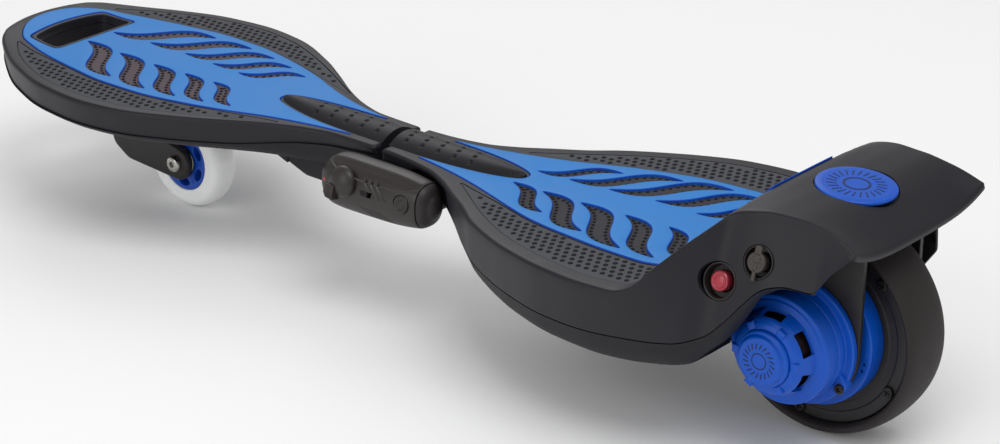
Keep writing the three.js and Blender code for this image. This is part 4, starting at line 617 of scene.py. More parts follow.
frontInsertTable = [(.081, .19), (.16, .24), (.24, .323), (.336, .459), (.43, .56), (.533, .627), (.62, .635),
                    (.72, .59), (.82, .523), (.9, .44), (.962, .375)]
frontPadTable = [(.223, .374), (.309, .55), (.382, .69), (.44, .785), (.505, .868), (.597, .912),
                 (.702, .872), (.79, .77), (.872, .61), (.91, .492)]
rearInsertTable = [(.078, .165), (.132, .198), (.2, .255), (.27, .334), (.331, .415), (.387, .4825),
                   (.46, .54), (.54, .58), (.62, .59), (.66, .56), (.7, .47), (.74, .375), (.795, .27)]
rearPadTable = [(.203, .303), (.25, .42), (.312, .57), (.371, .69), (.429, .78), (.517, .87), (.594, .9),
                (.62, .885), (.66, .86), (.7, .75), (.74, .6), (.795, .38)]
frontInsertLoop = insertOutline(frontInsertTable, frontSize, spineForm["front"], insertForm["frontEnds"],
                                insertForm["frontCorner"])
rearInsertLoop = insertOutline(rearInsertTable, rearSize, spineForm["rear"], insertForm["rearEnds"])

padForm = {"low": -2.0, "round": 0.7, "pitch": 6.4, "sink": 0.1, "nubInset": 3.3, "nubRadius": 1.95,
           "nubHeight": 1.0, "gap": 1.4, "tipGap": 3.6, "frontEnds": (85.2, 347.7),
           "rearEnds": (-86.1, -337.0)}


# A pad's outline on one side: the outer edge follows its table, the inner one keeps a gap to the insert
# that opens from 1.4 mm to 5 mm towards the two tips
def padOutline(padTable, insertTable, size, ends, side):
    x = np.linspace(*ends, 140)
    u = np.abs(x) / size["length"]
    outer = size["half"] * readTable(padTable, u, 0.012)
    toTip = np.minimum(np.abs(x - ends[0]), np.abs(x - ends[1]))
    gap = padForm["gap"] + padForm["tipGap"] * (1 - ease(toTip, 0, 60))
    inner = np.minimum(size["half"] * readTable(insertTable, u, 0.01) + gap, outer - 0.2)
    loop = np.vstack([np.stack([x, outer], -1), np.stack([x, inner], -1)[::-1]])
    return evenLoop(loop * (1, side), 0.9, 2.2)


frontPads = [padOutline(frontPadTable, frontInsertTable, frontSize, padForm["frontEnds"], k) for k in (1, -1)]
rearPads = [padOutline(rearPadTable, rearInsertTable, rearSize, padForm["rearEnds"], k) for k in (1, -1)]


# The carrying slot: a straight back edge and a front edge that bows out as 1 - v^2
slotForm = {"back": 318.0, "front": 346.0, "half": 35.0, "bow": 6.0, "lip": 3.0, "proud": 0.5}


def slotOutline(grow):
    back, front, half = slotForm["back"] - grow, slotForm["front"] + grow, slotForm["half"] + grow
    v = np.linspace(-1, 1, 40)
    bowed = np.stack([front + slotForm["bow"] * (1 - v**2), v * half], -1)
    straight = np.array([[back, (half + 3)], [back, -(half + 3)]])
    return evenLoop(np.vstack([bowed, straight]), 0.8, 6.0 + 0.4 * grow)


# Wave windows of the inserts: from a tip (x, y) to a tip, with a belly 0.1 sin(pi t)^0.8 to either side
# and a bend 0.075 sin(2 pi t), both times the window's length
windowForm = {"belly": 0.1, "bend": 0.075,
              "front": [((310.5, 13), (240, 55)), ((272, 15.5), (203, 56)), ((234.5, 16), (175, 52)),
                        ((203, 14.3), (151.5, 46.3)), ((174.6, 12.8), (130.6, 39.3))],
              "rear": [((-113, 13), (-163, 44)), ((-139.5, 14), (-205.5, 55.5)), ((-173, 15), (-242, 62.5)),
                       ((-211, 16), (-268, 61.5)), ((-245.5, 14.5), (-287, 52))]}


def windowOutline(start, end, side):
    a, b = np.array(start, float), np.array(end, float)
    run = b - a
    across = np.array([-run[1], run[0]])
    t = np.linspace(0, 1, 50)[:, None]
    middle = a + t * run + across * windowForm["bend"] * np.sin(2 * math.pi * t)
    belly = across * windowForm["belly"] * np.sin(math.pi * t)**0.8
    loop = np.vstack([middle + belly, (middle - belly)[::-1][1:-1]])
    return evenLoop(loop * (1, side), 0.8, 1.2)


frontOpenings, rearOpenings = ([windowOutline(a, b, k) for a, b in windowForm[deck] for k in (1, -1)]
                               for deck in ("front", "rear"))


# An outline moved outwards by an even amount
def growLoop(loop, amount):
    loop = facing([loop])[0]
    return loop + normalsOf(loop) * amount


shellForm = {"rim": 2.6, "recess": 2.1, "gap": 0.5, "skin": 5.2, "wall": 2.6, "spacing": 4.5, "draw": 2.0}


# A deck's shell: the rim's quarter round, a wall that goes down from it and draws in by a share of its
# half-width, a lip turned in below, and a ceiling under the top. drop and draw are functions of the outline.
def deckShell(outline, recesses, through, place, drop, draw):
    outline = facing([outline])[0]
    n = normalsOf(outline)
    skinDeep, recessDeep = -shellForm["skin"], -shellForm["recess"]
    patches = [carry(outline, *quarter(shellForm["rim"]), place, flip=True)]
    start = place(outline, np.full(len(outline), -shellForm["rim"]))
    low = start[:, 2] - (drop(outline) - shellForm["rim"])
    t = np.linspace(0, 1, 7)
    x = np.repeat(start[:, 0:1], 7, 1)
    y = start[:, 1:2] * (1 - draw(outline)[:, None] * t)
    wall = np.stack([x, y, start[:, 2:3] + (low - start[:, 2])[:, None] * t], -1)
    foot = wall[:, -1]
    inner = foot.copy()
    inner[:, :2] -= n * shellForm["wall"]
    roof = start.copy()
    roof[:, :2] -= n * shellForm["wall"]
    roof[:, 2] = np.maximum(place(roof[:, :2], np.full(len(roof), skinDeep))[:, 2], inner[:, 2] + 0.2)
    patches += [gridPatch(wall, closeRows=True, flip=True),
                gridPatch(np.stack([foot, inner, roof], 1), closeRows=True, flip=True)]
    flat, tris = fillPlan([outline - n * shellForm["rim"]] + recesses, shellForm["spacing"])
    patches.append((place(flat, np.zeros(len(flat))), tris))
    ceiling, tris = fillPlan([roof[:, :2]] + through, 2 * shellForm["spacing"])
    under = place(ceiling, np.full(len(ceiling), skinDeep))
    under[:len(roof)] = roof
    patches.append((under, tris[:, ::-1]))
    for loop in through:
        hole = facing([outline, loop])[1]
        patches.append(carry(hole, np.zeros(3), [recessDeep, -3, skinDeep], place, flip=True))
    for k, loop in enumerate(recesses):
        hole = facing([outline, loop])[1]
        patches.append(carry(hole, np.zeros(3), np.linspace(0, recessDeep, 3), place, flip=True))
        flat, tris = fillPlan([facing([loop])[0]] + (through if k == 0 else []), 5.0)
        patches.append((place(flat, np.full(len(flat), recessDeep)), tris))
    return patches


def makeFrontShell():
    recesses = [growLoop(loop, shellForm["gap"]) for loop in [frontInsertLoop] + frontPads]
    lipOut, lipIn = slotOutline(slotForm["lip"]), slotOutline(0)
    patches = deckShell(frontOutline(), recesses, [slotOutline(slotForm["lip"] - 0.5)], onFront,
                        lambda l: frontWall(l[:, 0]),
                        lambda l: shellForm["draw"] / np.maximum(frontHalf(l[:, 0]), 20))
    patches += plateBody([lipOut, lipIn], onFront, -shellForm["skin"] - 1, slotForm["proud"], 0.9, 0.3, 6.0)
    makePiece("front_deck_shell", patches, "front_deck", "shell", caseBlack, ["front_shell"], recalc=False)


hullForm = {"gap": 0.35, "inset": 0.6, "wall": 2.6, "noseDraw": 15.0, "noseFrom": 320.0, "noseTo": 382.0}
# The torsion bar's line, and the radii of the ways round it
barForm = {"height": 90.5, "tubeWay": 12.5, "neckWay": 9.4}


# The front hull: under the shell's wall it turns in to its foot. With a from 0 to 90 degrees the share drawn
# in is (1 - cos a)^0.7 and the share gone down is sin a. The slot's sleeve stands on its floor.
def makeFrontHull():
    outline = facing([frontOutline()])[0]
    n = normalsOf(outline)
    a = np.radians(np.linspace(0, 90, 13))

    def side(inset):
        rim = outline - n * (hullForm["inset"] + inset)
        x = outline[:, 0]
        high = frontTop(x) - frontWall(x) - hullForm["gap"]
        floor = frontTop(x) - frontDepth(x) + inset
        share = readTable(frontFootTable, x / frontSize["length"], 0.02)
        drawn = hullForm["noseDraw"] * ease(x, hullForm["noseFrom"], hullForm["noseTo"])
        foot = np.stack([rim[:, 0] - drawn, rim[:, 1] * share], -1)
        inward = ((1 - np.cos(a)) ** 0.7)[None, :, None]
        plan = rim[:, None] * (1 - inward) + foot[:, None] * inward
        z = high[:, None] + (floor - high)[:, None] * np.sin(a)
        return np.concatenate([plan, z[..., None]], -1)

    def onFloor(p, lift):
        return np.stack([p[:, 0], p[:, 1], frontTop(p[:, 0]) - frontDepth(p[:, 0]) + lift], -1)

    def onCeiling(p):
        return np.column_stack([p, frontTop(p[:, 0]) - shellForm["skin"] - 1.4])

    def floorFill(edge, hole, lift, spacing):
        flat, tris = fillPlan([edge[:, :2], hole], spacing)
        points = onFloor(flat, np.full(len(flat), lift))
        points[:len(edge)] = edge
        return points, tris

    wall = hullForm["wall"]
    outer, inner = side(0), side(wall)
    hole = facing([outline, slotOutline(0)])[1]
    sleeve = hole - normalsOf(hole) * wall
    sleeveRows = [onFloor(hole, 0.0), onCeiling(hole), onCeiling(sleeve), onFloor(sleeve, wall)]
    points, tris = floorFill(outer[:, -1], hole, 0.0, 6.0)
    patches = [gridPatch(outer, closeRows=True, flip=True), (points, tris[:, ::-1]),
               gridPatch(inner, closeRows=True), floorFill(inner[:, -1], sleeve, wall, 8.0),
               gridPatch(np.stack([inner[:, 0], outer[:, 0]], 1), closeRows=True, flip=True),
               gridPatch(np.stack(sleeveRows, 1), closeRows=True)]
    obj = makeMesh("front_deck_hull", patches)
    cutOut(obj, [makeMesh("tube_way", [alongBoard(barForm["tubeWay"], 0, barForm["height"], -10, 30, 32)])])
    finishPiece(obj, "front_deck", hullBlack, ["front_hull"])


# A round rod along the board, closed at its ends, from x0 to x1
def alongBoard(radius, y, z, x0, x1, sides):
    a = np.linspace(0, 2 * math.pi, sides, endpoint=False)
    rows = []
    for x, r in ((x0, 0.01), (x0, radius), (x1, radius), (x1, 0.01)):
        rows.append(np.stack([np.full(sides, float(x)), y + r * np.cos(a), z + r * np.sin(a)], -1))
    return gridPatch(np.stack(rows), closeColumns=True)


# Nubs on a grip: places on a staggered grid inside an outline that keep a distance from its edge
def nubPlaces(loop, pitch, inset):
    low, high = loop.min(0), loop.max(0)
    x, y = np.meshgrid(np.arange(low[0], high[0], pitch), np.arange(low[1], high[1], pitch * 0.9))
    x[1::2] += pitch / 2
    grid = np.stack([x, y], -1)
    grid = grid.reshape(-1, 2)
    grid = grid[insideOf(grid, [loop])]
    return grid[np.linalg.norm(grid[:, None] - loop[None], axis=2).min(1) > inset]


# Each nub is a dome of four rings with eight sides: r cos a out and h sin a up, a from 0 to 88 degrees
def nubs(places, place, base, radius, height):
    sides, rings = 8, np.radians([0, 35, 65, 88])
    a = np.linspace(0, 2 * math.pi, sides, endpoint=False)
    r = np.where(rings > 1.5, 0.02, np.cos(rings)) * radius
    h = base + np.sin(rings) * height
    ring = np.stack([np.outer(r, np.cos(a)), np.outer(r, np.sin(a))], -1).reshape(-1, 2)
    plan = (places[:, None] + ring[None]).reshape(-1, 2)
    centre = np.repeat(places, len(ring), 0)
    level = place(centre, np.zeros(len(centre)))[:, 2] + np.tile(np.repeat(h, sides), len(places))
    _, quads = gridPatch(np.zeros((len(rings), sides, 3)), closeColumns=True)
    faces = (quads[None] + (np.arange(len(places)) * len(ring))[:, None, None]).reshape(-1, 4)
    return np.column_stack([plan, level]), faces


# A patch list's weights: 1 on the patches named, 0 on the others
def weights(patches, marked):
    return np.concatenate([np.full(len(p), 1.0 if k in marked else 0.0) for k, (p, _) in enumerate(patches)])


def makePads(name, loops, place, body, node):
    patches = sum([plateBody([loop], place, padForm["low"], 0.0, padForm["round"]) for loop in loops], [])
    # The nubs are marked to be painted near black: painted shade for their sides
    marked = range(len(patches), len(patches) + len(loops))
    for loop in loops:
        places = nubPlaces(loop, padForm["pitch"], padForm["nubInset"])
        patches.append(nubs(places, place, -padForm["sink"], padForm["nubRadius"], padForm["nubHeight"]))
    makePiece(name, patches, body, "pad", padRubber, [node], recalc=False,
              masks={"nub_shade": weights(patches, marked)})


# The insert: a plate with leaf windows; its rims are rounded and marked with painted shade, so that they
# render deeper blue
def makeInsert(name, loops, place, body, node):
    patches = plateBody(loops, place, insertForm["low"], insertForm["proud"], insertForm["round"])
    # Painted shade weights on the rims: 0 on the top, rising down the round
    rim = np.array([0, 0.7, 1, 1, 1, 1])       # from the top's edge, down the round, to the foot
    edge = [np.tile(rim, len(p) // len(rim)) for p, _ in patches[:len(loops)]]
    flat = [np.zeros(len(p)) for p, _ in patches[len(loops):]]
    makePiece(name, patches, body, "insert", deckBlue, [node], recalc=False, sharp=60,
              masks={"edge": np.concatenate(edge + flat)})


# Points along a line that runs inside an outline at one distance, those too near to any side left out
def rowInside(loop, inset, step):
    row = evenLoop(growLoop(loop, -inset), step)
    far = np.linalg.norm(row[:, None] - evenLoop(loop, 0.5)[None], axis=2).min(1)
    return row[(far > 0.9 * inset) & insideOf(row, [loop])]


# The rubber under the windows: a flat sheet with small nubs along the windows' edges, the nubs painted near
# black as painted shade
fillForm = {"low": -2.0, "high": -1.05, "nubInset": 2.7, "nubPitch": 5.4, "nubRadius": 1.35, "nubHeight": 1.0,
            "sink": 0.05}


def makeWindowFill(name, outline, openings, place, body, material):
    f = fillForm
    patches = plateBody(outline, place, f["low"], f["high"], 0.0, spacing=6.0)
    marked = range(len(patches), len(patches) + len(openings))
    for loop in openings:
        places = rowInside(loop, f["nubInset"], f["nubPitch"])
        patches.append(nubs(places, place, f["high"] - f["sink"], f["nubRadius"], f["nubHeight"]))
    makePiece(name, patches, body, "pad", material, recalc=False, masks={"nub_shade": weights(patches, marked)})


# The rear insert climbs clear of the deck at its far end; the fill under it stays down
def rearRaised(points, lift):
    climb = insertForm["rearRise"] * ease(-points[:, 0], 0.74 * rearSize["length"], 0.8 * rearSize["length"])
    return onRear(points, lift + climb * (lift > -0.9))


def makeGrips():
    slotClear = slotOutline(slotForm["lip"] + 0.5)
    makeInsert("front_blue_insert", [frontInsertLoop, slotClear] + frontOpenings, onFront, "front_deck",
               "front_insert")
    makeInsert("rear_blue_insert", [rearInsertLoop] + rearOpenings, rearRaised, "rear_deck", "rear_insert")
    makePads("front_grip_pads", frontPads, onFront, "front_deck", "front_grip_mat")
    makePads("rear_grip_pads", rearPads, onRear, "rear_deck", "rear_grip_mat")
    makeWindowFill("front_window_fill", [growLoop(frontInsertLoop, -0.6), slotClear], frontOpenings, onFront,
                   "front_deck", windowWarm)
    makeWindowFill("rear_window_fill", [growLoop(rearInsertLoop, -0.6)], rearOpenings, onRear, "rear_deck",
                   windowDark)


# A spine cover: across it y = half sin(q), arched as rise (1 - v^2), its foot straight down into the deck;
# pits are pressed in as depth (1 + cos(pi d / r)) / 2 within r of their centres
def makeSpine(name, tip, firstRow, sign, place, body, node):
    start = splitHalf * sign
    x = np.linspace(start, tip, 230)
    v = np.sin(np.linspace(-math.pi / 2, math.pi / 2, 72))
    half = np.maximum(spineHalf(x, tip), 0.05)
    gridX, gridY = x[:, None] + 0 * v, half[:, None] * v
    rise = spineForm["height"] * np.sqrt(half / spineForm["half"])[:, None]
    plan = np.stack([gridX, 0 * gridY], -1).reshape(-1, 2)
    base = place(plan, np.zeros(len(plan)))[:, 2].reshape(gridX.shape)
    rows = firstRow + sign * spineForm["pitch"] * np.arange(5)
    pits = np.array([(r - spineForm["lean"] * y, y) for r in rows for y in spineForm["across"]])
    d = np.linalg.norm(np.stack([gridX, gridY], -1)[:, :, None] - pits, axis=-1).min(-1)
    sunk = np.where(d < spineForm["pitRadius"], (1 + np.cos(math.pi * d / spineForm["pitRadius"])) / 2, 0)
    gridZ = base + rise * (1 - v**2) - spineForm["pitDepth"] * sunk
    top = np.stack([gridX, gridY, gridZ], -1)
    foot = base - 1.2
    left, right = top[:, :1].copy(), top[:, -1:].copy()
    left[..., 2], right[..., 2] = foot[:, :1], foot[:, -1:]
    grid = np.concatenate([left, top, right], 1)
    under = grid[:, ::-1].copy()
    under[..., 2] = foot[:, :1]
    ends = [gridPatch(np.stack([grid[k], under[k, ::-1]])) for k in (0, -1)]
    patches = [gridPatch(grid), gridPatch(under)] + ends
    # Painted shade: the pits are darkened in step with their depth
    dark = np.pad(np.minimum(1, 2.6 * sunk), ((0, 0), (1, 1))).reshape(-1)
    mask = np.concatenate([dark, np.zeros(sum(len(p) for p, _ in patches[1:]))])
    makePiece(name, patches, body, "shell", spineBlack, [node], sharp=50, masks={"pit_shade": mask})


def makeFrontDeck():
    makeFrontShell()
    makeFrontHull()
    makeSpine("front_spine_cover", spineForm["front"], spineForm["frontRow"], 1, onFront, "front_deck",
              "front_spine")


# The rear shell: its wall is the panel that the switch and the port sit in, its foot is the parting line.
# Over the docked remote the wall stops short on the left.
rearForm = {"thin": 4.2, "overFrom": (-86, -78), "overTo": (-40, -30), "overSide": 8}


def rearWall(x):
    return np.maximum(rearEdge(x) - rearParting(x), rearForm["thin"])


def rearDrop(loop):
    x = loop[:, 0]
    over = ease(x, *rearForm["overFrom"]) * (1 - ease(x, *rearForm["overTo"]))
    over *= loop[:, 1] > rearForm["overSide"]
    return rearWall(x) * (1 - over) + rearForm["thin"] * over


def rearDraw(loop):
    x = loop[:, 0]
    return (1 - rearFoot(x) / rearHalf(x)) * rearDrop(loop) / rearWall(x)


badgeForm = {"x": -376.5, "radius": 26.0, "gap": 0.8, "lean": -0.09,
             "face": [(0, -2.0), (26, -2.0), (26, -0.5), (25.3, 0.1), (22, 0.5), (0, 0.6)]}


panelForm = {"tilt": 0.315, "powerX": -338.0, "powerZ": 125.0, "powerWay": 12.35,
             "portX": -362.31, "portZ": 142.5, "portWay": 10.85}


# The frame on the hood's side: its y axis points out of the panel
def panelFrame(x, z):
    foot, rim, low, high = (float(f(np.array([x]))[0]) for f in (rearFoot, rearHalf, rearParting, rearEdge))
    side = foot + (rim - foot) * (z - low) / (high - low)
    return Matrix.Translation((x, side, z)) @ Matrix.Rotation(panelForm["tilt"], 4, "X")


# A round body along a frame's own y axis, from y0 to y1
def plug(name, radius, y0, y1, place, sides=64):
    return makeMesh(name, moved([turned([(0, y0), (radius, y0), (radius, y1), (0, y1)], 0, 0, sides)], place))


def makeRearShell():
    p = panelForm
    recesses = [growLoop(loop, shellForm["gap"]) for loop in [rearInsertLoop] + rearPads]
    recesses.append(circle(badgeForm["x"], 0, badgeForm["radius"] + badgeForm["gap"]))
    obj = makeMesh("rear_deck_shell", deckShell(rearOutline(), recesses, [], onRear, rearDrop, rearDraw),
                   recalc=False)
    cutOut(obj, [plug(f"panel_way_{k}", p[k + "Way"], -16, 9, panelFrame(p[k + "X"], p[k + "Z"]))
                 for k in ("power", "port")])
    finishPiece(obj, "rear_deck", caseBlack, ["rear_shell"])


makeFrontDeck()
makeRearShell()
makeGrips()
makeSpine("rear_spine_cover", spineForm["rear"], spineForm["rearRow"], -1, onRear, "rear_deck", "rear_spine")
print("decks made")


# The rear tub: an open tray under the shell, with the wheel's arch and the remote's bay cut out of it

tubForm = {"front": -3.25, "back": -399.0, "wall": 2.6, "gap": 0.8, "neckEnd": 0.15, "neckBlend": 0.15,
           "tail": [(-450, -20), (-368, -20), (-368, 150), (-450, 150)], "tailSide": (30, 74.5),
           "skirt": [(-376, 158), (-405, 158), (-407, 118), (-395, 101), (-380, 108), (-372, 122)],
           "skirtSide": (-51.0, -48.4)}
tubAcross = [(0, 1), (.3, .955), (.6, .86), (.85, .7), (1, .55)]
tubDown = [(0, 0), (.3, .42), (.6, .76), (.85, .985), (1, 1)]
neckAcross = [(0, 1), (.3, .93), (.6, .8), (.85, .66), (1, .5)]
neckDown = [(0, 0), (.3, .3), (.6, .68), (.85, .985), (1, 1)]


# Rings of the tub: half-width times a(t) and depth times b(t) below the parting, with a and b passing from
# the neck's tables to the tub's
def tubLoft(front, back, inset, roof):
    x = np.linspace(front, back, 190)
    foot = rearFoot(x) - inset
    high = rearParting(x) - tubForm["gap"]
    low = tubBottom(x) + inset
    t = np.linspace(0, 1, 22)
    blend = np.clip((-x / rearSize["length"] - tubForm["neckEnd"]) / tubForm["neckBlend"], 0, 1)[:, None]
    a = readTable(neckAcross, t) * (1 - blend) + readTable(tubAcross, t) * blend
    b = readTable(neckDown, t) * (1 - blend) + readTable(tubDown, t) * blend
    y, z = foot[:, None] * a, high[:, None] + (low - high)[:, None] * b
    y = np.concatenate([foot[:, None], y, -y[:, ::-1], -foot[:, None]], 1)
    z = np.concatenate([high[:, None] + roof, z, z[:, ::-1], high[:, None] + roof], 1)
    rings = np.stack([x[:, None] + 0 * y, y, z], -1)
    caps = [np.repeat(rings[k].mean(0)[None], rings.shape[1], 0)[None] for k in (0, -1)]
    return gridPatch(np.concatenate([caps[0], rings, caps[1]]), closeColumns=True)


driveForm = {"x": -361.292, "z": 73.5, "radius": 73.5, "centre": -4.5}
archForm = {"gap": 8.0, "half": 39.0, "motorRadius": 47.5, "motorEnd": 82.0}


# A plain block across the board with an outline in x and z, for cutting
def block(name, outline, y0, y1):
    return makeMesh(name, plateBody([outline], upright, y0, y1, 0, spacing=30))


# The wheel's room seen from the side: half a circle over the axle, open below and behind
def archOutline(radius):
    x, z = driveForm["x"], driveForm["z"]
    over = arc(x, z, radius, 0, 180, 60)
    return np.vstack([over, [(-440, z), (-440, -20), (x + radius, -20)]])


def archCutters(grow):
    wheel = archOutline(driveForm["radius"] + archForm["gap"] + grow)
    side = archOutline(archForm["motorRadius"] + grow)
    reach = archForm["half"] + grow
    return [block("arch_way", wheel, -reach, reach), block("motor_way", side, 0, archForm["motorEnd"] + grow)]


remoteForm = {"front": 26.5, "back": -71.5, "y": 45.5, "z": 86.8, "thick": 17.0, "high": 19.5, "square": 0.84,
              "seam": -64.5, "split": 39.5, "overlap": 0.17, "wall": 2.2, "gap": 4.2, "travel": 3.5}
remoteTable = [(0, .52), (.03, .72), (.12, .96), (.25, 1), (.62, .98), (.9, .85), (.955, .72), (1, .38)]


def remoteScale(x):
    u = (remoteForm["front"] - np.asarray(x, float)) / (remoteForm["front"] - remoteForm["back"])
    return readTable(remoteTable, u, 0.012)


# Rings of the remote: y and z follow sign(cos) |cos|^q and sign(sin) |sin|^q, scaled along it; lift moves
# points out or in, and the last rings close each end in a shallow dome
def remoteLoft(front, back, grow, lift=None, rows=150, sides=120, domes=(1.5, 1.5)):
    q = remoteForm["square"]
    a = np.linspace(0, 2 * math.pi, sides, endpoint=False)
    c, s = (np.sign(f(a)) * np.abs(f(a)) ** q for f in (np.cos, np.sin))
    x = np.linspace(front, back, rows)
    fade = np.array([0.97, 0.88, 0.7, 0.4, 0.0])
    scale = np.r_[np.full(5, remoteScale(front)), remoteScale(x), np.full(5, remoteScale(back))]
    x = np.r_[front + domes[0] * (1 - fade[::-1]**2), x, back - domes[1] * (1 - fade**2)]
    k = np.r_[fade[::-1], np.ones(rows), fade]
    y = remoteForm["y"] + (remoteForm["thick"] * scale + grow)[:, None] * k[:, None] * c
    z = remoteForm["z"] + (remoteForm["high"] * scale + grow)[:, None] * k[:, None] * s
    x = x[:, None] + 0 * y
    if lift is not None:
        d = lift(x, y, z) * k[:, None]
        y, z = y + d * c, z + d * s
    return gridPatch(np.stack([x, y, z], -1), closeColumns=True)


# The remote's bay: its own shape grown by a gap, the way of its sliding cap, and all of that to the left
def remoteCutters(grow):
    f = remoteForm
    g = f["gap"] + grow
    x = np.linspace(f["front"], f["back"], 40)
    half = f["high"] * remoteScale(x) + g
    x[-1] -= g + f["travel"]
    side = np.vstack([np.stack([x, f["z"] + half], -1), np.stack([x, f["z"] - half], -1)[::-1]])
    body = remoteLoft(f["front"], f["back"] - 2, g, rows=40, sides=48)
    slid = moved([body], Matrix.Translation((-f["travel"], 0, 0)))
    return [makeMesh("remote_way", [body]), makeMesh("remote_cap_way", slid),
            block("remote_side", side, f["y"], 140)]


def makeTub():
    tub = makeMesh("rear_tub_tray", [tubLoft(tubForm["front"], tubForm["back"], 0, 0)])
    wall = tubForm["wall"]
    room = makeMesh("tub_room", [tubLoft(tubForm["front"] - wall, tubForm["back"] + wall, wall, 9.0)])
    cutOut(room, archCutters(wall) + remoteCutters(wall))
    ways = [makeMesh("tube_way", [alongBoard(barForm["neckWay"], 0, barForm["height"], -12, 8, 32)]),
            block("tail_way", tubForm["tail"], *tubForm["tailSide"])]
    cutOut(tub, [room] + archCutters(0) + remoteCutters(0) + ways, sharp=32)
    skirt = evenLoop(tubForm["skirt"], 1.2, 2.0)
    flap = makeMesh("tail_skirt", plateBody([skirt], upright, *tubForm["skirtSide"], 0.6, 0.6, spacing=6))
    joined(tub, [flap], "rear_deck", hullBlack, ["rear_tub"])


housingForm = {"half": 21.0, "round": 5.0, "saddleHalf": 13.5, "bore": 10.95,
               "side": [(54, 86), (54, 69), (57, 63.4), (76, 63.4), (112, 76.4), (120, 79.5), (120, 86)],
               "pad": [(92, 70.5), (104, 75), (104, 79), (92, 79)]}


def makeTorsionHousing():
    h = housingForm
    side, saddle = evenLoop(h["side"], 1.2, 3.0), boxLoop(9.4, 82.2, 117.4, 100.9, 1.5, 1.0)
    bulge = makeMesh("torsion_bulge", plateBody([side], upright, -h["half"], h["half"], h["round"],
                                                h["round"], 5))
    inner = makeMesh("saddle", plateBody([saddle], upright, -h["saddleHalf"], h["saddleHalf"], 0.6, 0.6, 9))
    for name, obj in (("bush_way", inner), ("bush_way_low", bulge)):
        cutOut(obj, [makeMesh(name, [alongBoard(h["bore"], 0, barForm["height"], 0, 130, 40)])])
    pad = evenLoop(h["pad"], 0.7, 1.2)
    plate = makeMesh("side_pad", plateBody([pad], upright, h["half"] - 1, h["half"] + 0.8, 0.5, spacing=3))
    joined(bulge, [inner, plate], "front_deck", hullBlack, ["torsion_housing"])


# Several mesh objects made one
def joined(first, others, body, material, replaces):
    shape = bmesh.new()
    for obj in [first] + others:
        shape.from_mesh(obj.data)
    shape.to_mesh(first.data)
    shape.free()
    for obj in others:
        bpy.data.objects.remove(obj)
    first.data.set_sharp_from_angle(angle=math.radians(sharpAngle))
    return finishPiece(first, body, material, replaces)


makeTub()
makeTorsionHousing()
print("tub and housing made")


# The front caster: a soft wheel on a blue hub in a raked fork

casterForm = {"x": 213.7098, "z": 38.0, "tread": [(23.6, 11.0), (25.2, 11.6)], "treadStart": 8,
              "shoulder": 29.5, "swell": 8.5, "half": 12.0, "hubRadius": 23.3, "hubBore": 11.35,
              "hubFace": 10.6, "ovals": 6, "ovalPitch": 17.2, "ovalLong": 5.6, "ovalHigh": 3.3,
              "studPitch": 17.8, "studRadius": 1.5, "bore": 4.4, "bearingRadius": 11.0,
              "bearings": ((4.35, 11.0), (-11.0, -4.35)), "forkHalf": 19.0, "forkInside": 14.0,
              "forkEnd": 13.5, "bosses": ((11.35, 14.35), (-14.35, -11.35)), "bossRadius": 7.5}


# The wheel: its tread is 29.5 + 8.5 sin a out and 12 cos(a)^0.8 to the side, with a from 8 to 90 degrees
def makeCasterWheel():
    f, x, z = casterForm, casterForm["x"], casterForm["z"]
    a = np.radians(np.linspace(f["treadStart"], 90, 14))
    side = np.stack([f["shoulder"] + f["swell"] * np.sin(a), f["half"] * np.cos(a) ** 0.8], -1)
    tread = np.vstack([f["tread"], side])
    loop = np.vstack([tread, (tread * (1, -1))[::-1][1:]])
    makePiece("caster_wheel_tyre", [turned(loop, x, z, 96, 0.4, True)], "caster_wheel", "wheel_white",
              wheelWhite, ["caster_tyre"])
    ring = [circle(x, z, f["hubRadius"], 96), circle(x, z, f["hubBore"], 64)]
    t = np.linspace(0, 2 * math.pi, 28, endpoint=False)
    oval = np.stack([f["ovalPitch"] + f["ovalHigh"] * np.cos(t), f["ovalLong"] * np.sin(t)], -1)
    step = 2 * math.pi / f["ovals"]
    ring += [spun(oval, -step * (k + 0.5), x, z) for k in range(f["ovals"])]
    patches = plateBody(ring, upright, -f["hubFace"], f["hubFace"], 0.6, 0.6, spacing=3.0)
    for k in range(f["ovals"]):
        px, pz = x + f["studPitch"] * math.cos(step * k), z + f["studPitch"] * math.sin(step * k)
        for low, high in ((10.0, 11.2), (-11.2, -10.0)):
            stud = circle(px, pz, f["studRadius"], 16)
            patches += plateBody([stud], upright, low, high, 0.4, 0.4, spacing=2)
    patches.append(turned([(6.4, -3.6), (11.0, -3.6), (11.0, 3.6), (6.4, 3.6)], x, z, 48, 0.2, True))
    makePiece("caster_wheel_hub", patches, "caster_wheel", "caster_blue", casterBlue, ["caster_hub"])
    spacer = [(f["bore"], -4.5), (6.0, -4.5), (6.0, 4.5), (f["bore"], 4.5)]
    patches = [bearing(x, z, low, high, f["bearingRadius"], f["bore"]) for low, high in f["bearings"]]
    patches.append(turned(spacer, x, z, 40, 0.1, True))
    makePiece("caster_wheel_bearings", patches, "caster_wheel", "steel", steelBright, ["caster_bearings"])


# A shielded ball bearing from y0 to y1: races with a sunk shield between them on both faces
def bearing(x, z, y0, y1, outer, inner):
    wide = outer - inner
    a, b = outer - 0.16 * wide, inner + 0.22 * wide
    half = [(outer, y1 - 0.3), (outer - 0.3, y1), (a, y1), (a - 0.15, y1 - 0.45), (b + 0.15, y1 - 0.45),
            (b, y1), (inner + 0.2, y1), (inner, y1 - 0.2)]
    low = [(r, y0 + y1 - y) for r, y in half][::-1]
    return turned(half + low, x, z, 56, 0.0, True)


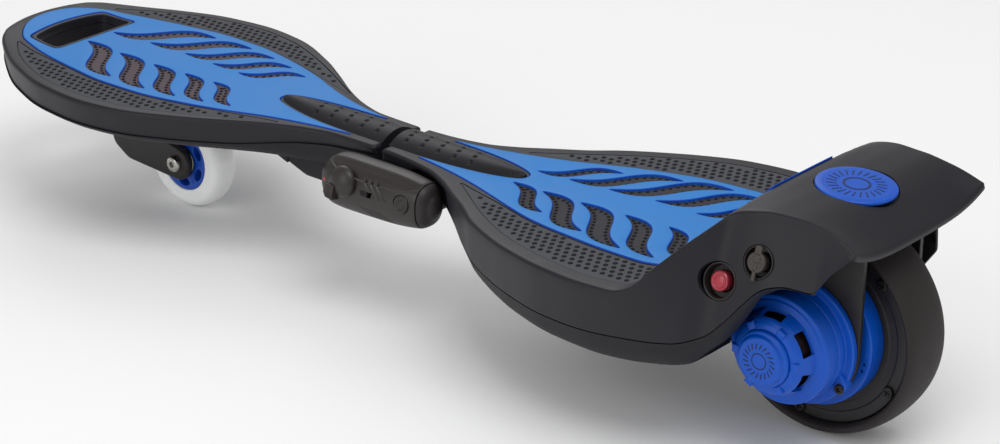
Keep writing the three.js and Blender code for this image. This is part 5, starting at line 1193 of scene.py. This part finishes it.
# The fork's rake: a point across and along the swivel axis, which leans 30 degrees
pivotForm = {"x": 272.7098, "z": 69.0, "lean": math.pi / 6, "radius": 22.0, "kingHole": 5.35, "kingSeat": 9.7,
             "crown": [(0, -9), (21, -9), (22, -7.5), (22, -0.6), (21.4, 0), (0, 0)]}


def byPivot(across, along):
    c, s = math.cos(pivotForm["lean"]), math.sin(pivotForm["lean"])
    return (pivotForm["x"] + across * c + along * s, pivotForm["z"] - across * s + along * c)


# The frame whose y axis is the swivel axis
def pivotFrame():
    return (Matrix.Translation((pivotForm["x"], 0, pivotForm["z"]))
            @ Matrix.Rotation(pivotForm["lean"], 4, "Y") @ Matrix.Rotation(math.pi / 2, 4, "X"))


def makeCasterFork():
    f, x, z = casterForm, casterForm["x"], casterForm["z"]
    crown, end = pivotForm["radius"], casterForm["forkEnd"]
    outline = np.vstack([[byPivot(-crown * 0.8, 0), byPivot(crown * 0.8, 0), byPivot(crown * 0.9, -10),
                          (pivotForm["x"] + crown * 0.38, z), (pivotForm["x"] - crown * 0.3, z - end * 0.7)],
                         arc(x, z, end, -75.6, -255.6, 24),
                         [(x + crown, z + 2 * end * 0.7), byPivot(-crown * 0.9, -10)]])
    fork = makeMesh("caster_fork_casting", plateBody([evenLoop(outline, 1.0, 5.0)], upright, -f["forkHalf"],
                                                     f["forkHalf"], 2.2, 2.2))
    place = pivotFrame()
    top = makeMesh("fork_crown", moved([turned(pivotForm["crown"], 0, 0, 72, 0.5)], place))
    inner = f["forkInside"]
    behind = np.array([(x - 80, -10), (x, -10), (x, 90), (x - 80, 90)])
    atAxle = Matrix.Translation((x, 0, z))
    cutters = [plug("wheel_way", 47, -inner, inner, atAxle, 72), block("wheel_back", behind, -inner, inner),
               plug("axle_hole", f["bore"] - 0.05, -30, 30, atAxle, 32),
               plug("king_hole", pivotForm["kingHole"], -40, 12, place, 32),
               plug("king_seat", pivotForm["kingSeat"], -40, -10, place, 32)]
    cutOut(top, [plug("king_hole_2", pivotForm["kingHole"], -40, 12, place, 32)])
    cutOut(fork, cutters, sharp=34)
    bosses = []
    for a, b in f["bosses"]:
        loop = [(f["bore"], a), (f["bossRadius"], a), (f["bossRadius"], b), (f["bore"], b)]
        bosses.append(makeMesh("boss", [turned(loop, x, z, 40, 0.3, True)]))
    joined(fork, [top] + bosses, "caster_fork", coatBlack, ["caster_fork"])


screwForms = {
    "axle": {"radius": 6.4, "height": 3.6, "depth": 2.2, "dome": 2.4, "hex": 2.5},
    "rim": {"radius": 3.8, "height": 2.0, "depth": 1.3, "dome": 0.9, "cross": (2.3, 0.55)},
    "bracket": {"radius": 4.8, "height": 2.4, "depth": 1.6, "dome": 1.2, "hex": 1.9},
    "motor": {"radius": 3.3, "height": 2.0, "depth": 1.2, "dome": 0.8, "cross": (2.0, 0.5)},
}


# A screw's head seen from +y: a low dome with a socket sunk into it, the head from y0 up
def screwHead(x, z, y0, form):
    socket = crossSocket(*form["cross"]) if "cross" in form else hexSocket(form["hex"])
    top = y0 + form["height"]
    head = plateBody([circle(x, z, form["radius"], 40), socket + (x, z)], upright, y0, top,
                     [form["dome"], 0.12], spacing=1.2)
    return head + plateBody([socket * 1.04 + (x, z)], upright, y0, top - form["depth"], 0.0, spacing=1.0)


# A cross-shaped socket r long and w half wide, and a hexagonal one
def crossSocket(r, w):
    arm = np.array([(w, -w), (r, -w * 0.7), (r, w * 0.7)])
    return evenLoop(np.vstack([spun(arm, -(k * math.pi / 2 + 0.4)) for k in range(4)]), 0.16, 0.1)


def hexSocket(r):
    return circle(0, 0, r, 6)


boltForm = {"radius": 4.0, "end": -19.0, "seat": 19.35, "nutRadius": 7.0, "nutTurn": 0.3, "nutLow": -22.4,
            "nutHigh": -19.1, "tipLow": -22.6, "tipHigh": -18.8}


def makeCasterBolt():
    x, z, b = casterForm["x"], casterForm["z"], boltForm
    r = b["radius"]
    shank = [(0, b["end"]), (r - 0.4, b["end"]), (r, b["end"] + 0.4), (r, b["seat"]), (0, b["seat"])]
    patches = [turned(shank, x, z, 36)]
    patches += screwHead(x, z, b["seat"], screwForms["axle"])
    patches += plateBody([circle(x, z, r, 24)], upright, b["tipLow"], b["tipHigh"], 0.6, 0.2, spacing=3)
    nut = evenLoop(spun(hexSocket(b["nutRadius"]), b["nutTurn"], x, z), 0.6, 0.5)
    patches += plateBody([nut, circle(x, z, r + 0.1, 24)], upright, b["nutLow"], b["nutHigh"], 0.5, spacing=2)
    makePiece("caster_bolt_and_nut", patches, "caster_fork", "steel", steelBright, ["caster_axle_bolt"])


makeCasterWheel()
makeCasterFork()
makeCasterBolt()
print("caster made")


# The rear wheel: tyre, split hub, ring gear flange, yoke and motor

tyreForm = {"inside": 68.2, "swell": 5.3, "half": 20.4,
            "wall": [(67.0, 19.9), (66.0, 18.4), (65.5, 16.4), (65.35, 15.0), (65.35, 14.2)]}
hubForm = {"split": -4.5, "screws": 5, "screwRow": 60.5, "firstScrew": 137.0, "ribs": 10,
           "rim": [(65, 0.2), (65, 13.6), (64.2, 14.5), (57.6, 14.5), (57.0, 13.7), (51.5, 13.7),
                   (51.0, 14.3), (20.2, 14.3), (19.6, 14.5), (14.35, 14.5), (14.35, 10.5), (56.5, 10.5),
                   (56.5, 0.2)]}
flangeForm = {"radius": 47.6, "bore": 31.0, "base": 10.35, "face": 24.0, "wall": 2.4, "gearEnd": 20.0,
              "holes": 6, "holeRow": 43.2, "holeRadius": 1.15}
gearForm = {"module": 2.1, "slack": 0.4, "ring": 40, "planet": 16, "pinion": 8, "root": 0.36, "tip": 0.14}


# Corners of a gear's outline: four for each tooth, at root and tip radii; an inner gear has them swapped
def gearLoop(teeth, turn, inner, x, z):
    g = gearForm
    pitch, sign = g["module"] * teeth / 2, -1 if inner else 1
    tip, root = pitch + sign * (g["module"] - g["slack"]), pitch - sign * (g["module"] + g["slack"])
    step = 2 * math.pi / teeth
    wide, narrow = step * g["root"] - g["slack"] / pitch, step * g["tip"] - g["slack"] / pitch / 2
    middle = turn + step * np.arange(teeth)[:, None]
    a = middle + np.array([-wide, -narrow, narrow, wide])
    r = np.array([root, tip, tip, root])
    return np.stack([x + (r * np.cos(a)).reshape(-1), z + (r * np.sin(a)).reshape(-1)], -1)


# The tyre: its tread is 68.2 + 5.3 cos(a)^0.9 out and 20.4 sin a to the side
def makeTyre():
    f = tyreForm
    a = np.radians(np.linspace(0, 90, 26))
    crown = np.stack([f["inside"] + f["swell"] * np.cos(a) ** 0.9, f["half"] * np.sin(a)], -1)
    half = np.vstack([crown, f["wall"]])
    loop = np.vstack([half, (half * (1, -1))[::-1][:-1]]) + (0, driveForm["centre"])
    patches = [turned(loop, driveForm["x"], driveForm["z"], 144, 0.0, True)]
    makePiece("drive_wheel_tyre", patches, "drive_wheel", "drive_rubber", tyreRubber, ["drive_tyre"])


def makeHub():
    x, z, h = driveForm["x"], driveForm["z"], hubForm
    rib = boxLoop(19, -1.5, 57.5, 1.5, 2.0, 0.0)
    for name, node, sign in (("drive_hub_near", "hub_outer", 1), ("drive_hub_far", "hub_inner", -1)):
        loop = np.array(h["rim"]) * (1, sign) + (0, h["split"])
        patches = [turned(loop, x, z, 120, 0.5, True)]
        low, high = sorted((h["split"] + sign * 5.0, h["split"] + sign * 12.0))
        for k in range(h["ribs"]):
            q = math.radians(h["firstScrew"] + 360 / h["ribs"] * k)
            patches += plateBody([spun(rib, q, x, z)], upright, low, high, 0, spacing=9)
        makePiece(name, patches, "drive_wheel", "hub_black", hubBlack, [node])
    base = flangeForm["base"]
    for k in range(h["screws"]):
        q = math.radians(h["firstScrew"] - 360 / h["screws"] * k)
        px, pz = x + h["screwRow"] * math.cos(q), z + h["screwRow"] * math.sin(q)
        patches = screwHead(px, pz, base, screwForms["rim"])
        patches.append(turned([(0, 2.2), (1.4, 2.6), (1.4, base), (0, base)], px, pz, 16))
        makePiece(f"rim_screw_{k + 1}", patches, "drive_wheel", "dark_steel", steelDark,
                  [f"hub_screw_{k + 1}"])


def makeFlange():
    x, z, f = driveForm["x"], driveForm["z"], flangeForm
    inside, back = f["radius"] - f["wall"], f["face"] - f["wall"]
    wall = [(inside, f["base"]), (f["radius"], f["base"]), (f["radius"], back), (inside, back)]
    patches = [turned(wall, x, z, 128, 0.3, True)]
    loops = [circle(x, z, f["radius"], 128), circle(x, z, f["bore"], 96)]
    for k in range(f["holes"]):
        for side in (-0.06, 0.06):
            q = 2 * math.pi * (k + 0.25) / f["holes"] + side
            px, pz = x + f["holeRow"] * math.cos(q), z + f["holeRow"] * math.sin(q)
            loops.append(circle(px, pz, f["holeRadius"], 16))
    patches += plateBody(loops, upright, back, f["face"], [0.8, 0.5] + [0.15] * 2 * f["holes"], spacing=6)
    mesh = (math.pi / 2 - planetTurn(math.pi / 2)) * gearForm["planet"] / gearForm["ring"]
    teeth = gearLoop(gearForm["ring"], math.pi / 2 + math.pi / gearForm["ring"] - mesh, True, x, z)
    gear = [circle(x, z, inside + 0.4, 128), teeth]
    patches += plateBody(gear, upright, f["base"], f["gearEnd"], 0.0, spacing=5)
    makePiece("ring_gear_flange", patches, "drive_wheel", "drive_blue", motorBlue, ["drive_flange"])


# A planet at an angle round the axle is turned so that its teeth fall in the pinion's gaps
def planetTurn(angle):
    return angle + math.pi + math.pi / gearForm["planet"] + angle * gearForm["pinion"] / gearForm["planet"]


# Placing for plates that lie flat: outline in x and y, height in z
def level(points, z):
    return np.stack([points[:, 0], points[:, 1], z], -1)


yokeForm = {"near": (28.4, 32.0, 6.0), "far": (-35.9, -32.3, 6.35), "back": 44.0, "front": 40.0,
            "frontTop": 132.0, "web": 21.0, "top": 155.4, "thick": 3.4, "radius": 43.0,
            "holes": (40, 140, 220, 320),
            "bolts": [(-32, -19.0), (-32, 19.0), (15, -19.0), (15, 19.0)]}


def makeYoke():
    x, z, y = driveForm["x"], driveForm["z"], yokeForm
    outline = evenLoop(np.vstack([[(x - y["back"], y["top"])], arc(x, z, y["radius"], -180, 0, 40),
                                  [(x + y["front"], y["frontTop"]), (x + y["web"], y["top"])]]), 1.4, 2.2)
    holes = [circle(*arc(x, z, 30, q, q, 0)[0], 2.2, 20) for q in y["holes"]]
    patches = []
    for low, high, bore in (y["near"], y["far"]):
        loops = [outline, circle(x, z, bore, 40)] + holes
        patches += plateBody(loops, upright, low, high, 0.5, 0.5, spacing=6)
    web = boxLoop(x - y["back"] + 1, -35.4, x + y["web"] - 0.6, 31.5, 1.6, 1.6)
    bolts = [(x + across, side) for across, side in y["bolts"]]
    patches += plateBody([web] + [circle(px, py, 2.6, 20) for px, py in bolts], level, y["top"] - y["thick"],
                         y["top"] - 0.05, 0.4, 0.4, spacing=6)
    makePiece("wheel_bracket", patches, "rear_deck", "dark_steel", coatBlack, ["wheel_yoke"])
    heads = []
    for px, py in bolts:
        under = Matrix.Translation((px, py, y["top"] - y["thick"])) @ Matrix.Rotation(-math.pi / 2, 4, "X")
        heads += moved(screwHead(0, 0, 0.0, screwForms["bracket"]), under)
    makePiece("bracket_bolts", heads, "rear_deck", "dark_steel", steelDark)


motorForm = {"base": 32.35, "vents": 6, "ventAt": 61.8,
             "lugs": (math.pi - .55, math.pi - 2.15, math.pi - 4.2), "lugReach": 45.0, "lugHalf": 7.0,
             "lugHeight": 7.0, "screwRow": 41.5,
             "outside": [(42.5, 32.35), (42.5, 35.9), (41.7, 36.6), (37.6, 36.7), (37.1, 37.4), (36.9, 43.0),
                         (36.2, 43.4), (36.2, 44.2), (36.8, 44.6), (36.3, 54.4), (35.6, 55.3), (33.6, 55.5),
                         (32.8, 56.6), (28.8, 57.4), (27.8, 61.6), (26.6, 65.0), (24.8, 67.8), (22.2, 69.8),
                         (19.8, 70.7), (18.9, 70.8)],
             "inside": [(18.9, 69.0), (22.4, 66.6), (25.2, 61.0), (26.0, 57.2), (31.0, 53.4), (34.4, 52.4),
                        (34.8, 35.0), (40.1, 34.6), (40.1, 32.35)],
             "cap": [(0, 69.3), (18.7, 69.3), (18.7, 72.6), (18.0, 73.5), (16.8, 73.8), (16.3, 74.5),
                     (15.8, 76.2), (15.0, 76.8), (14.0, 77.0), (0, 77.0)]}


# The motor's cover: a stepped dome with vents cut in its slope, tabs round its top and three screwed lugs
def makeMotor():
    x, z, m = driveForm["x"], driveForm["z"], motorForm
    cover = makeMesh("motor_housing", [turned(m["outside"] + m["inside"], x, z, 144, 0.35, True)])
    opening = plateBody([boxLoop(-4.4, -8.0, 4.4, 8.0, 0.5, 0.8)], level, 17, 44, 0)
    tab = boxLoop(18.8, -2.9, 24.6, 2.9, 0.5, 0.6)
    step = 2 * math.pi / m["vents"]
    vents, extra = [], []
    for k in range(m["vents"]):
        turn = (Matrix.Translation((x, m["ventAt"], z)) @ Matrix.Rotation(step * (k + 0.5), 4, "Y")
                @ Matrix.Rotation(math.pi / 2, 4, "Z") @ Matrix.Rotation(math.pi / 2, 4, "X"))
        vents.append(makeMesh(f"vent_{k}", moved(opening, turn)))
        extra += plateBody([spun(tab, step * k, x, z)], upright, 62.0, 71.2, 0.9, spacing=3)
    cutOut(cover, vents, sharp=34)
    tip, top = m["lugReach"] - m["lugHalf"], m["base"] + m["lugHeight"]
    nose = arc(tip, 0, m["lugHalf"], -80.214, 80.214, 8)
    lug = np.vstack([[(30, -17), (tip - 4, -8.6)], nose, [(tip - 4, 8.6), (30, 17)]])
    screws = []
    for q in m["lugs"]:
        loop = evenLoop(spun(lug * (1, -1), q, x, z), 0.8, 0.8)
        extra += plateBody([loop], upright, m["base"], top, 1.0)
        px, pz = x + m["screwRow"] * math.cos(q), z - m["screwRow"] * math.sin(q)
        screws += screwHead(px, pz, top, screwForms["motor"])
    joined(cover, [makeMesh("motor_lugs", extra)], "rear_deck", motorBlue, ["motor_cover"])
    makePiece("motor_screws", screws, "rear_deck", "dark_steel", steelDark, ["cover_screw"])
    patches = [turned(m["cap"], x, z, 120, 0.3)] + ringMotif(77.0, (4.8, 5.6), (8.0, 11.8), 20, x, z)
    # The ring and dashes are marked for painted shade: navy where the cap has grooves
    makePiece("motor_cap", patches, "rear_deck", "drive_blue", motorBlue, ["motor_end_cap"],
              masks={"edge": weights(patches, range(1, len(patches)))})


# A plain ring and, round it, a circle of even slanted dashes, both just proud of a face at height y; the
# callers paint them navy as painted shade for grooves
def ringMotif(y, ring, dashes, count, x, z):
    start, end = dashes
    dash = evenLoop([(start, -0.45), (end, 1.3), (end - 0.3, 2.3), (start, 0.45)], 0.3, 0.2)
    shapes = [[circle(x, z, r, 64) for r in ring[::-1]]]
    shapes += [[spun(dash, 2 * math.pi * k / count, x, z)] for k in range(count)]
    patches = []
    for loops in shapes:
        patches += plateBody(loops, upright, y - 0.1, y + 0.12, 0.08, spacing=3)
    return patches


makeTyre()
makeHub()
makeFlange()
makeYoke()
makeMotor()
print("rear wheel made")


# Power button and charge port in the hood's near side, and the badge on its top. Profiles are (radius,
# height over the panel).

switchForm = {"bezel": [(6.95, -13), (12, -13), (12, -0.35), (11.6, 0.1), (11.1, 0.1), (10.7, -0.4),
                        (10.2, -6.6), (6.95, -6.6)],
              "button": [(0, -8.9), (6.4, -8.9), (6.4, -0.7), (5.8, 0.1), (4.6, 0.1), (4.3, -0.2),
                         (3.4, -0.2), (3.1, 0.15), (0, 0.25)]}
portForm = {"cup": [(0, -14), (10.5, -14), (10.5, -0.3), (10.2, 0.05), (9.8, 0.05), (9.5, -0.3), (9.3, -8),
                    (6, -8), (5.8, -3), (3.1, -3), (3, -9), (0, -9)],
            "disc": [(0, -2.65), (5.2, -2.65), (5.6, -0.4), (6.3, 0.1), (6.3, 2.2), (5.8, 2.7), (4.6, 2.7),
                     (4.2, 2.3), (0, 2.2)],
            "tab": [(-2.4, 0), (2.4, 0), (2.4, 9.2), (1.2, 10.5), (-1.2, 10.5), (-2.4, 9.2)]}


def makePanel():
    seat = panelFrame(panelForm["powerX"], panelForm["powerZ"])
    makePiece("power_bezel", moved([turned(switchForm["bezel"], 0, 0, 72, 0.25, True)], seat), "rear_deck",
              "hub_black", capBlack, ["switch_bezel"])
    flat = [turned(switchForm["button"], 0, 0, 64, 0.25)]
    # Painted glow: the lens is marked darker with its distance from the middle
    ring = np.concatenate([np.linalg.norm(v[:, [0, 2]], axis=1) / 6.6 for v, _ in flat])
    makePiece("power_cap", moved(flat, seat), "power_button", "button_red", lensRed, ["switch_button"],
              masks={"ring": ring})
    seat = panelFrame(panelForm["portX"], panelForm["portZ"])
    makePiece("charge_cup", moved([turned(portForm["cup"], 0, 0, 64, 0.2)], seat), "rear_deck", "hub_black",
              capBlack, ["charge_socket"])
    patches = [turned(portForm["disc"], 0, 0, 64, 0.25)]
    for loop in (evenLoop(portForm["tab"], 0.5, 0.6), boxLoop(-1.2, -11.5, 1.2, 0, 0.4, 0.3)):
        patches += plateBody([loop], upright, 0.9, 2.7, 0.4, 0.2, spacing=2)
    makePiece("charge_plug", moved(patches, seat), "charge_cap", "remote_grey", plugGrey, ["charge_cap"])


def makeBadge():
    x = badgeForm["x"]
    seat = (Matrix.Translation((x, 0, float(rearTop(np.array([x]), np.array([0.0]))[0])))
            @ Matrix.Rotation(badgeForm["lean"], 4, "Y") @ Matrix.Rotation(math.pi / 2, 4, "X"))
    patches = [turned(badgeForm["face"], 0, 0, 128, 0.3)]
    patches += ringMotif(0.58, (7.4, 9.0), (12.5, 19.0), 24, 0, 0)
    # The ring and dashes are marked for painted shade: navy, standing in for grooves
    makePiece("hood_badge", moved(patches, seat), "rear_deck", "insert", motorBlue, ["emblem_disc"],
              masks={"edge": weights(patches, range(1, len(patches)))})


makePanel()
makeBadge()
print("panel and badge made")


# The docked remote: two case halves, an end cap, a thumb dial, a slider and a round button

# Each control has its place along the case, its rise over the case's middle and the radius of its hole
controlForm = {"lean": 0.25, "faceShare": 0.97, "dial": (-1.3, 6.6, 5.3), "slider": (-20.0, 2.2, 0),
               "button": (-53.0, 2.7, 6.6), "lampAt": 18.0, "lampRise": 3.0, "lampLean": 0.12,
               "ring": [(0, -2.2), (6.3, -2.2), (6.3, 0.6), (5.9, 1.0), (4.3, 1.0), (3.9, 0.5), (2.9, 0.45),
                        (2.5, 0.9), (0, 1.0)],
               "lever": [(1.5, -13.6), (8.2, -12.4), (10.6, -8.8), (9.0, -3.0), (1.5, -3.0)],
               "lens": [(0, -1.0), (1.5, -1.0), (1.5, 0.25), (1.1, 0.6), (0, 0.7)]}
# Rows of grooves: x of the first, count, low and high ends, lean
grooveForm = {"depth": 1.1, "width": 1.15, "pitch": 5.4, "facet": 1.2,
              "rows": ((-34.5, 3, 88.5, 99.0, 0.95), (-38.0, 4, 72.5, 78.5, 1.6))}


# The frame of a place on the case's near side: its y axis points out of the case
def caseFrame(x, share, rise, lean):
    half = remoteForm["thick"] * float(remoteScale(x))
    return (Matrix.Translation((x, remoteForm["y"] + half * share, remoteForm["z"] + rise))
            @ Matrix.Rotation(lean, 4, "X"))


def controlFrame(key):
    x, rise, _ = controlForm[key]
    return caseFrame(x, controlForm["faceShare"], rise, controlForm["lean"])


# How far the case sinks: slanted grooves above and below the controls, each as exp(-(d / width)^4), and a
# flat upper facet that starts at a line curving along the case
def caseLift(x, y, z):
    g = grooveForm
    out = ease(y, remoteForm["y"] + 3, remoteForm["y"] + 9)
    lift = np.zeros_like(x)
    for first, count, low, high, lean in g["rows"]:
        along = ease(z, low - 1, low + 1) * (1 - ease(z, high - 1, high + 1))
        for k in range(count):
            line = x - (first + g["pitch"] * k) - lean * (z - (low + high) / 2)
            lift -= g["depth"] * np.exp(-(line / g["width"])**4) * along * out
    border = 97.5 + 7.0 * (np.abs(x + 26) / 46)**3
    lift -= g["facet"] * ease(z, border - 0.5, border + 0.5) * out
    return lift


def makeRemote():
    f = remoteForm
    body = remoteLoft(f["front"], f["seam"] + 0.6, 0, caseLift, rows=290, sides=230, domes=(2.2, 0.05))
    reach = np.array([(-200, -20), (200, -20), (200, 200), (-200, 200)])
    wall = f["wall"]
    for name, node, low, high in (("remote_front_case", "remote_face", -90, f["split"] + f["overlap"]),
                                  ("remote_rear_case", "remote_back", f["split"] - f["overlap"], 190)):
        obj = makeMesh(name, [body])
        inner = remoteLoft(f["front"] - wall, f["seam"] - 2, -wall, rows=60, sides=60)
        cutters = [makeMesh("inner_way", [inner]),
                   makeMesh("split_way", plateBody([reach], upright, low, high, 0, spacing=90))]
        if node == "remote_face":
            for key, sides in (("dial", 40), ("button", 48)):
                cutters.append(plug(f"{key}_way", controlForm[key][2], -6, 9, controlFrame(key), sides))
            slide = plateBody([boxLoop(-6.6, -2, 3.3, 2, 0.6, 0.5)], upright, -6, 9, 0, spacing=3)
            cutters.append(makeMesh("slider_way", moved(slide, controlFrame("slider"))))
        cutOut(obj, cutters, sharp=36)
        finishPiece(obj, "remote", remoteGrey, [node])
    shell = makeMesh("remote_end_cap", [remoteLoft(f["seam"] - 0.3, f["back"], 0, rows=30, sides=140,
                                                   domes=(0.05, 3.2))])
    inner = remoteLoft(f["seam"] + 2, f["back"] + wall, -wall, rows=24, sides=60)
    cutOut(shell, [makeMesh("cap_way", [inner])], sharp=36)
    finishPiece(shell, "remote_cap", capBlack, ["remote_cap"])


# The thumb dial: a dome of 11.2 cos q by 1 + 6.6 sin q on a short stem, with a ribbed lever beside it
dialForm = {"radius": 11.2, "rise": 6.6, "lift": 1.0, "stem": [(0, -2.2), (5, -2.2), (5, 0.5), (10.9, 0.5)]}


def makeDial():
    d = dialForm
    q = np.radians(np.linspace(0, 88, 16))
    dome = np.vstack([d["stem"], np.stack([d["radius"] * np.cos(q), d["lift"] + d["rise"] * np.sin(q)], -1),
                      [(0, d["lift"] + d["rise"])]])
    patches = [turned(dome, 0, 0, 80, 0.2)]
    patches += plateBody([evenLoop(controlForm["lever"], 0.5, 1.2)], upright, 0.9, 8.6, 1.0, 0.4, spacing=2)
    for low in (-12.4, -10.9, -9.4):
        rib = evenLoop([(2.6, low), (7.6, low + 0.8), (7.6, low + 1.4), (2.6, low + 0.6)], 0.2, 0.1)
        patches += plateBody([rib], upright, 8.4, 8.95, 0.12, spacing=1)
    makePiece("thumb_dial", moved(patches, controlFrame("dial")), "remote_dial", "remote_grey", remoteGrey,
              ["remote_dial"])


def makeControls():
    patches = plateBody([boxLoop(-3, -1.7, 3, 1.7, 0.3, 0.5)], upright, -2.2, 0.9, 0.35, spacing=1)
    for k in range(4):
        rib = boxLoop(-2.3 + 1.3 * k, -1.4, -1.7 + 1.3 * k, 1.4, 0.2, 0.1)
        patches += plateBody([rib], upright, 0.7, 1.4, 0.15, spacing=1)
    makePiece("mode_slider", moved(patches, controlFrame("slider")), "remote_slider", "hub_black", capBlack,
              ["remote_slider"])
    button = moved([turned(controlForm["ring"], 0, 0, 72, 0.2)], controlFrame("button"))
    makePiece("round_button", button, "remote_button", "remote_grey", remoteGrey, ["remote_button"])
    eye = caseFrame(controlForm["lampAt"], 0.975, controlForm["lampRise"], controlForm["lampLean"])
    lens = moved([turned(controlForm["lens"], 0, 0, 32, 0.2)], eye)
    makePiece("remote_light", lens, "remote", "button_red", lensRed)


makeRemote()
makeDial()
makeControls()
print("remote made")


# Materials for the CAD nodes that are shown as they are

dressed = {
    "torsion_tube": steelBright, "torsion_bar": springSteel, "torsion_bush": gearNylon,
    "torsion_cradle": coatBlack, "battery_pack": wrapBlue, "controller": boardGreen,
    "motor_can": windingCopper, "hub_bearings": steelBright, "drive_axle": steelDark,
    "planet_gear_1": gearNylon, "planet_gear_2": gearNylon, "planet_gear_3": gearNylon,
    "planet_carrier": steelDark, "motor_pinion": steelBright, "remote_cell": cellFoil, "kingpin": steelBright,
    "swivel_bearing": steelDark, "caster_wedge": hullBlack, "remote_dock": capBlack,
}
for name, material in dressed.items():
    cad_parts[name].material_slots[0].material = material


# The picture: floor, lamps and camera

stageForm = {"floor": "#f4f4f4", "reach": 6.0, "drop": 0.0004, "lens": 100.1, "sensor": 36.0,
             "eye": (-1.1981, 1.3534, 0.8206), "back": (-0.5908, 0.7049, 0.3925), "sky": 0.6, "shine": 0.42}


def makeStage():
    s = np.linspace(-stageForm["reach"], stageForm["reach"], 3)
    x, y = np.meshgrid(s, s)
    mesh = bpy.data.meshes.new("floor")
    v, f = gridPatch(np.stack([x, y, 0 * x - stageForm["drop"]], -1), flip=True)
    mesh.from_pydata(v.tolist(), [], f.tolist())
    floor = bpy.data.objects.new("floor", mesh)
    bpy.context.collection.objects.link(floor)
    paper = bpy.data.materials.new("floor_white_paper")
    paper.use_nodes = True
    tree = paper.node_tree
    tree.nodes.clear()
    place = addNode(tree, "ShaderNodeTexCoord").outputs["Object"]
    fibre = addNode(tree, "ShaderNodeTexNoise", {"Vector": place, "Scale": 700.0, "Detail": 2.0})
    bump = addNode(tree, "ShaderNodeBump", {"Height": fibre.outputs["Fac"], "Distance": 0.00005})
    matt = addNode(tree, "ShaderNodeBsdfDiffuse",
                   {"Color": colour(stageForm["floor"]), "Normal": bump.outputs[0]})
    addNode(tree, "ShaderNodeOutputMaterial", {"Surface": matt.outputs[0]})
    mesh.materials.append(paper)


def makeSky():
    world = bpy.data.worlds.new("studio")
    bpy.context.scene.world = world
    world.use_nodes = True
    tree = world.node_tree
    tree.nodes.clear()
    ray = addNode(tree, "ShaderNodeLightPath")
    dim = addNode(tree, "ShaderNodeMapRange", {0: ray.outputs["Is Glossy Ray"], 3: stageForm["sky"],
                                               4: stageForm["shine"]})
    power = addNode(tree, "ShaderNodeMix", {0: ray.outputs["Is Camera Ray"], 2: dim.outputs[0], 3: 1.0})
    sky = addNode(tree, "ShaderNodeBackground", {"Color": (1, 1, 1, 1), "Strength": power.outputs[0]})
    addNode(tree, "ShaderNodeOutputWorld", {"Surface": sky.outputs[0]})


lampForms = [
    {"name": "key_softbox", "at": (-0.9, 0.3, 2.1), "aim": (0, 0, 0.08), "size": 1.6, "power": 19.0},
    {"name": "fill_softbox", "at": (0.2, 2.2, 1.1), "aim": (0, 0, 0.05), "size": 1.8, "power": 12.0},
    {"name": "back_softbox", "at": (1.5, -1.4, 1.7), "aim": (0, 0, 0.1), "size": 1.4, "power": 10.0},
]


def makeLamps():
    for form in lampForms:
        light = bpy.data.lights.new(form["name"], "AREA")
        light.shape = "DISK"
        light.size = form["size"]
        light.energy = form["power"]
        lamp = bpy.data.objects.new(form["name"], light)
        bpy.context.collection.objects.link(lamp)
        lamp.location = form["at"]
        look = Vector(form["aim"]) - Vector(form["at"])
        lamp.rotation_euler = look.to_track_quat("-Z", "Y").to_euler()


def makeCamera():
    lens = bpy.data.cameras.new("photo_camera")
    lens.lens = stageForm["lens"]
    lens.sensor_width = stageForm["sensor"]
    lens.sensor_fit = "HORIZONTAL"
    lens.clip_end = 30
    camera = bpy.data.objects.new("photo_camera", lens)
    bpy.context.collection.objects.link(camera)
    back = Vector(stageForm["back"]).normalized()
    right = Vector((0, 0, 1)).cross(back).normalized()
    up = back.cross(right)
    turn = Matrix((right, up, back)).transposed()
    camera.matrix_world = Matrix.Translation(stageForm["eye"]) @ turn.to_4x4()
    bpy.context.scene.camera = camera


makeStage()
makeSky()
makeLamps()
makeCamera()
bpy.context.scene.view_settings.view_transform = "Standard"
bpy.context.view_layer.update()
print("stage made")
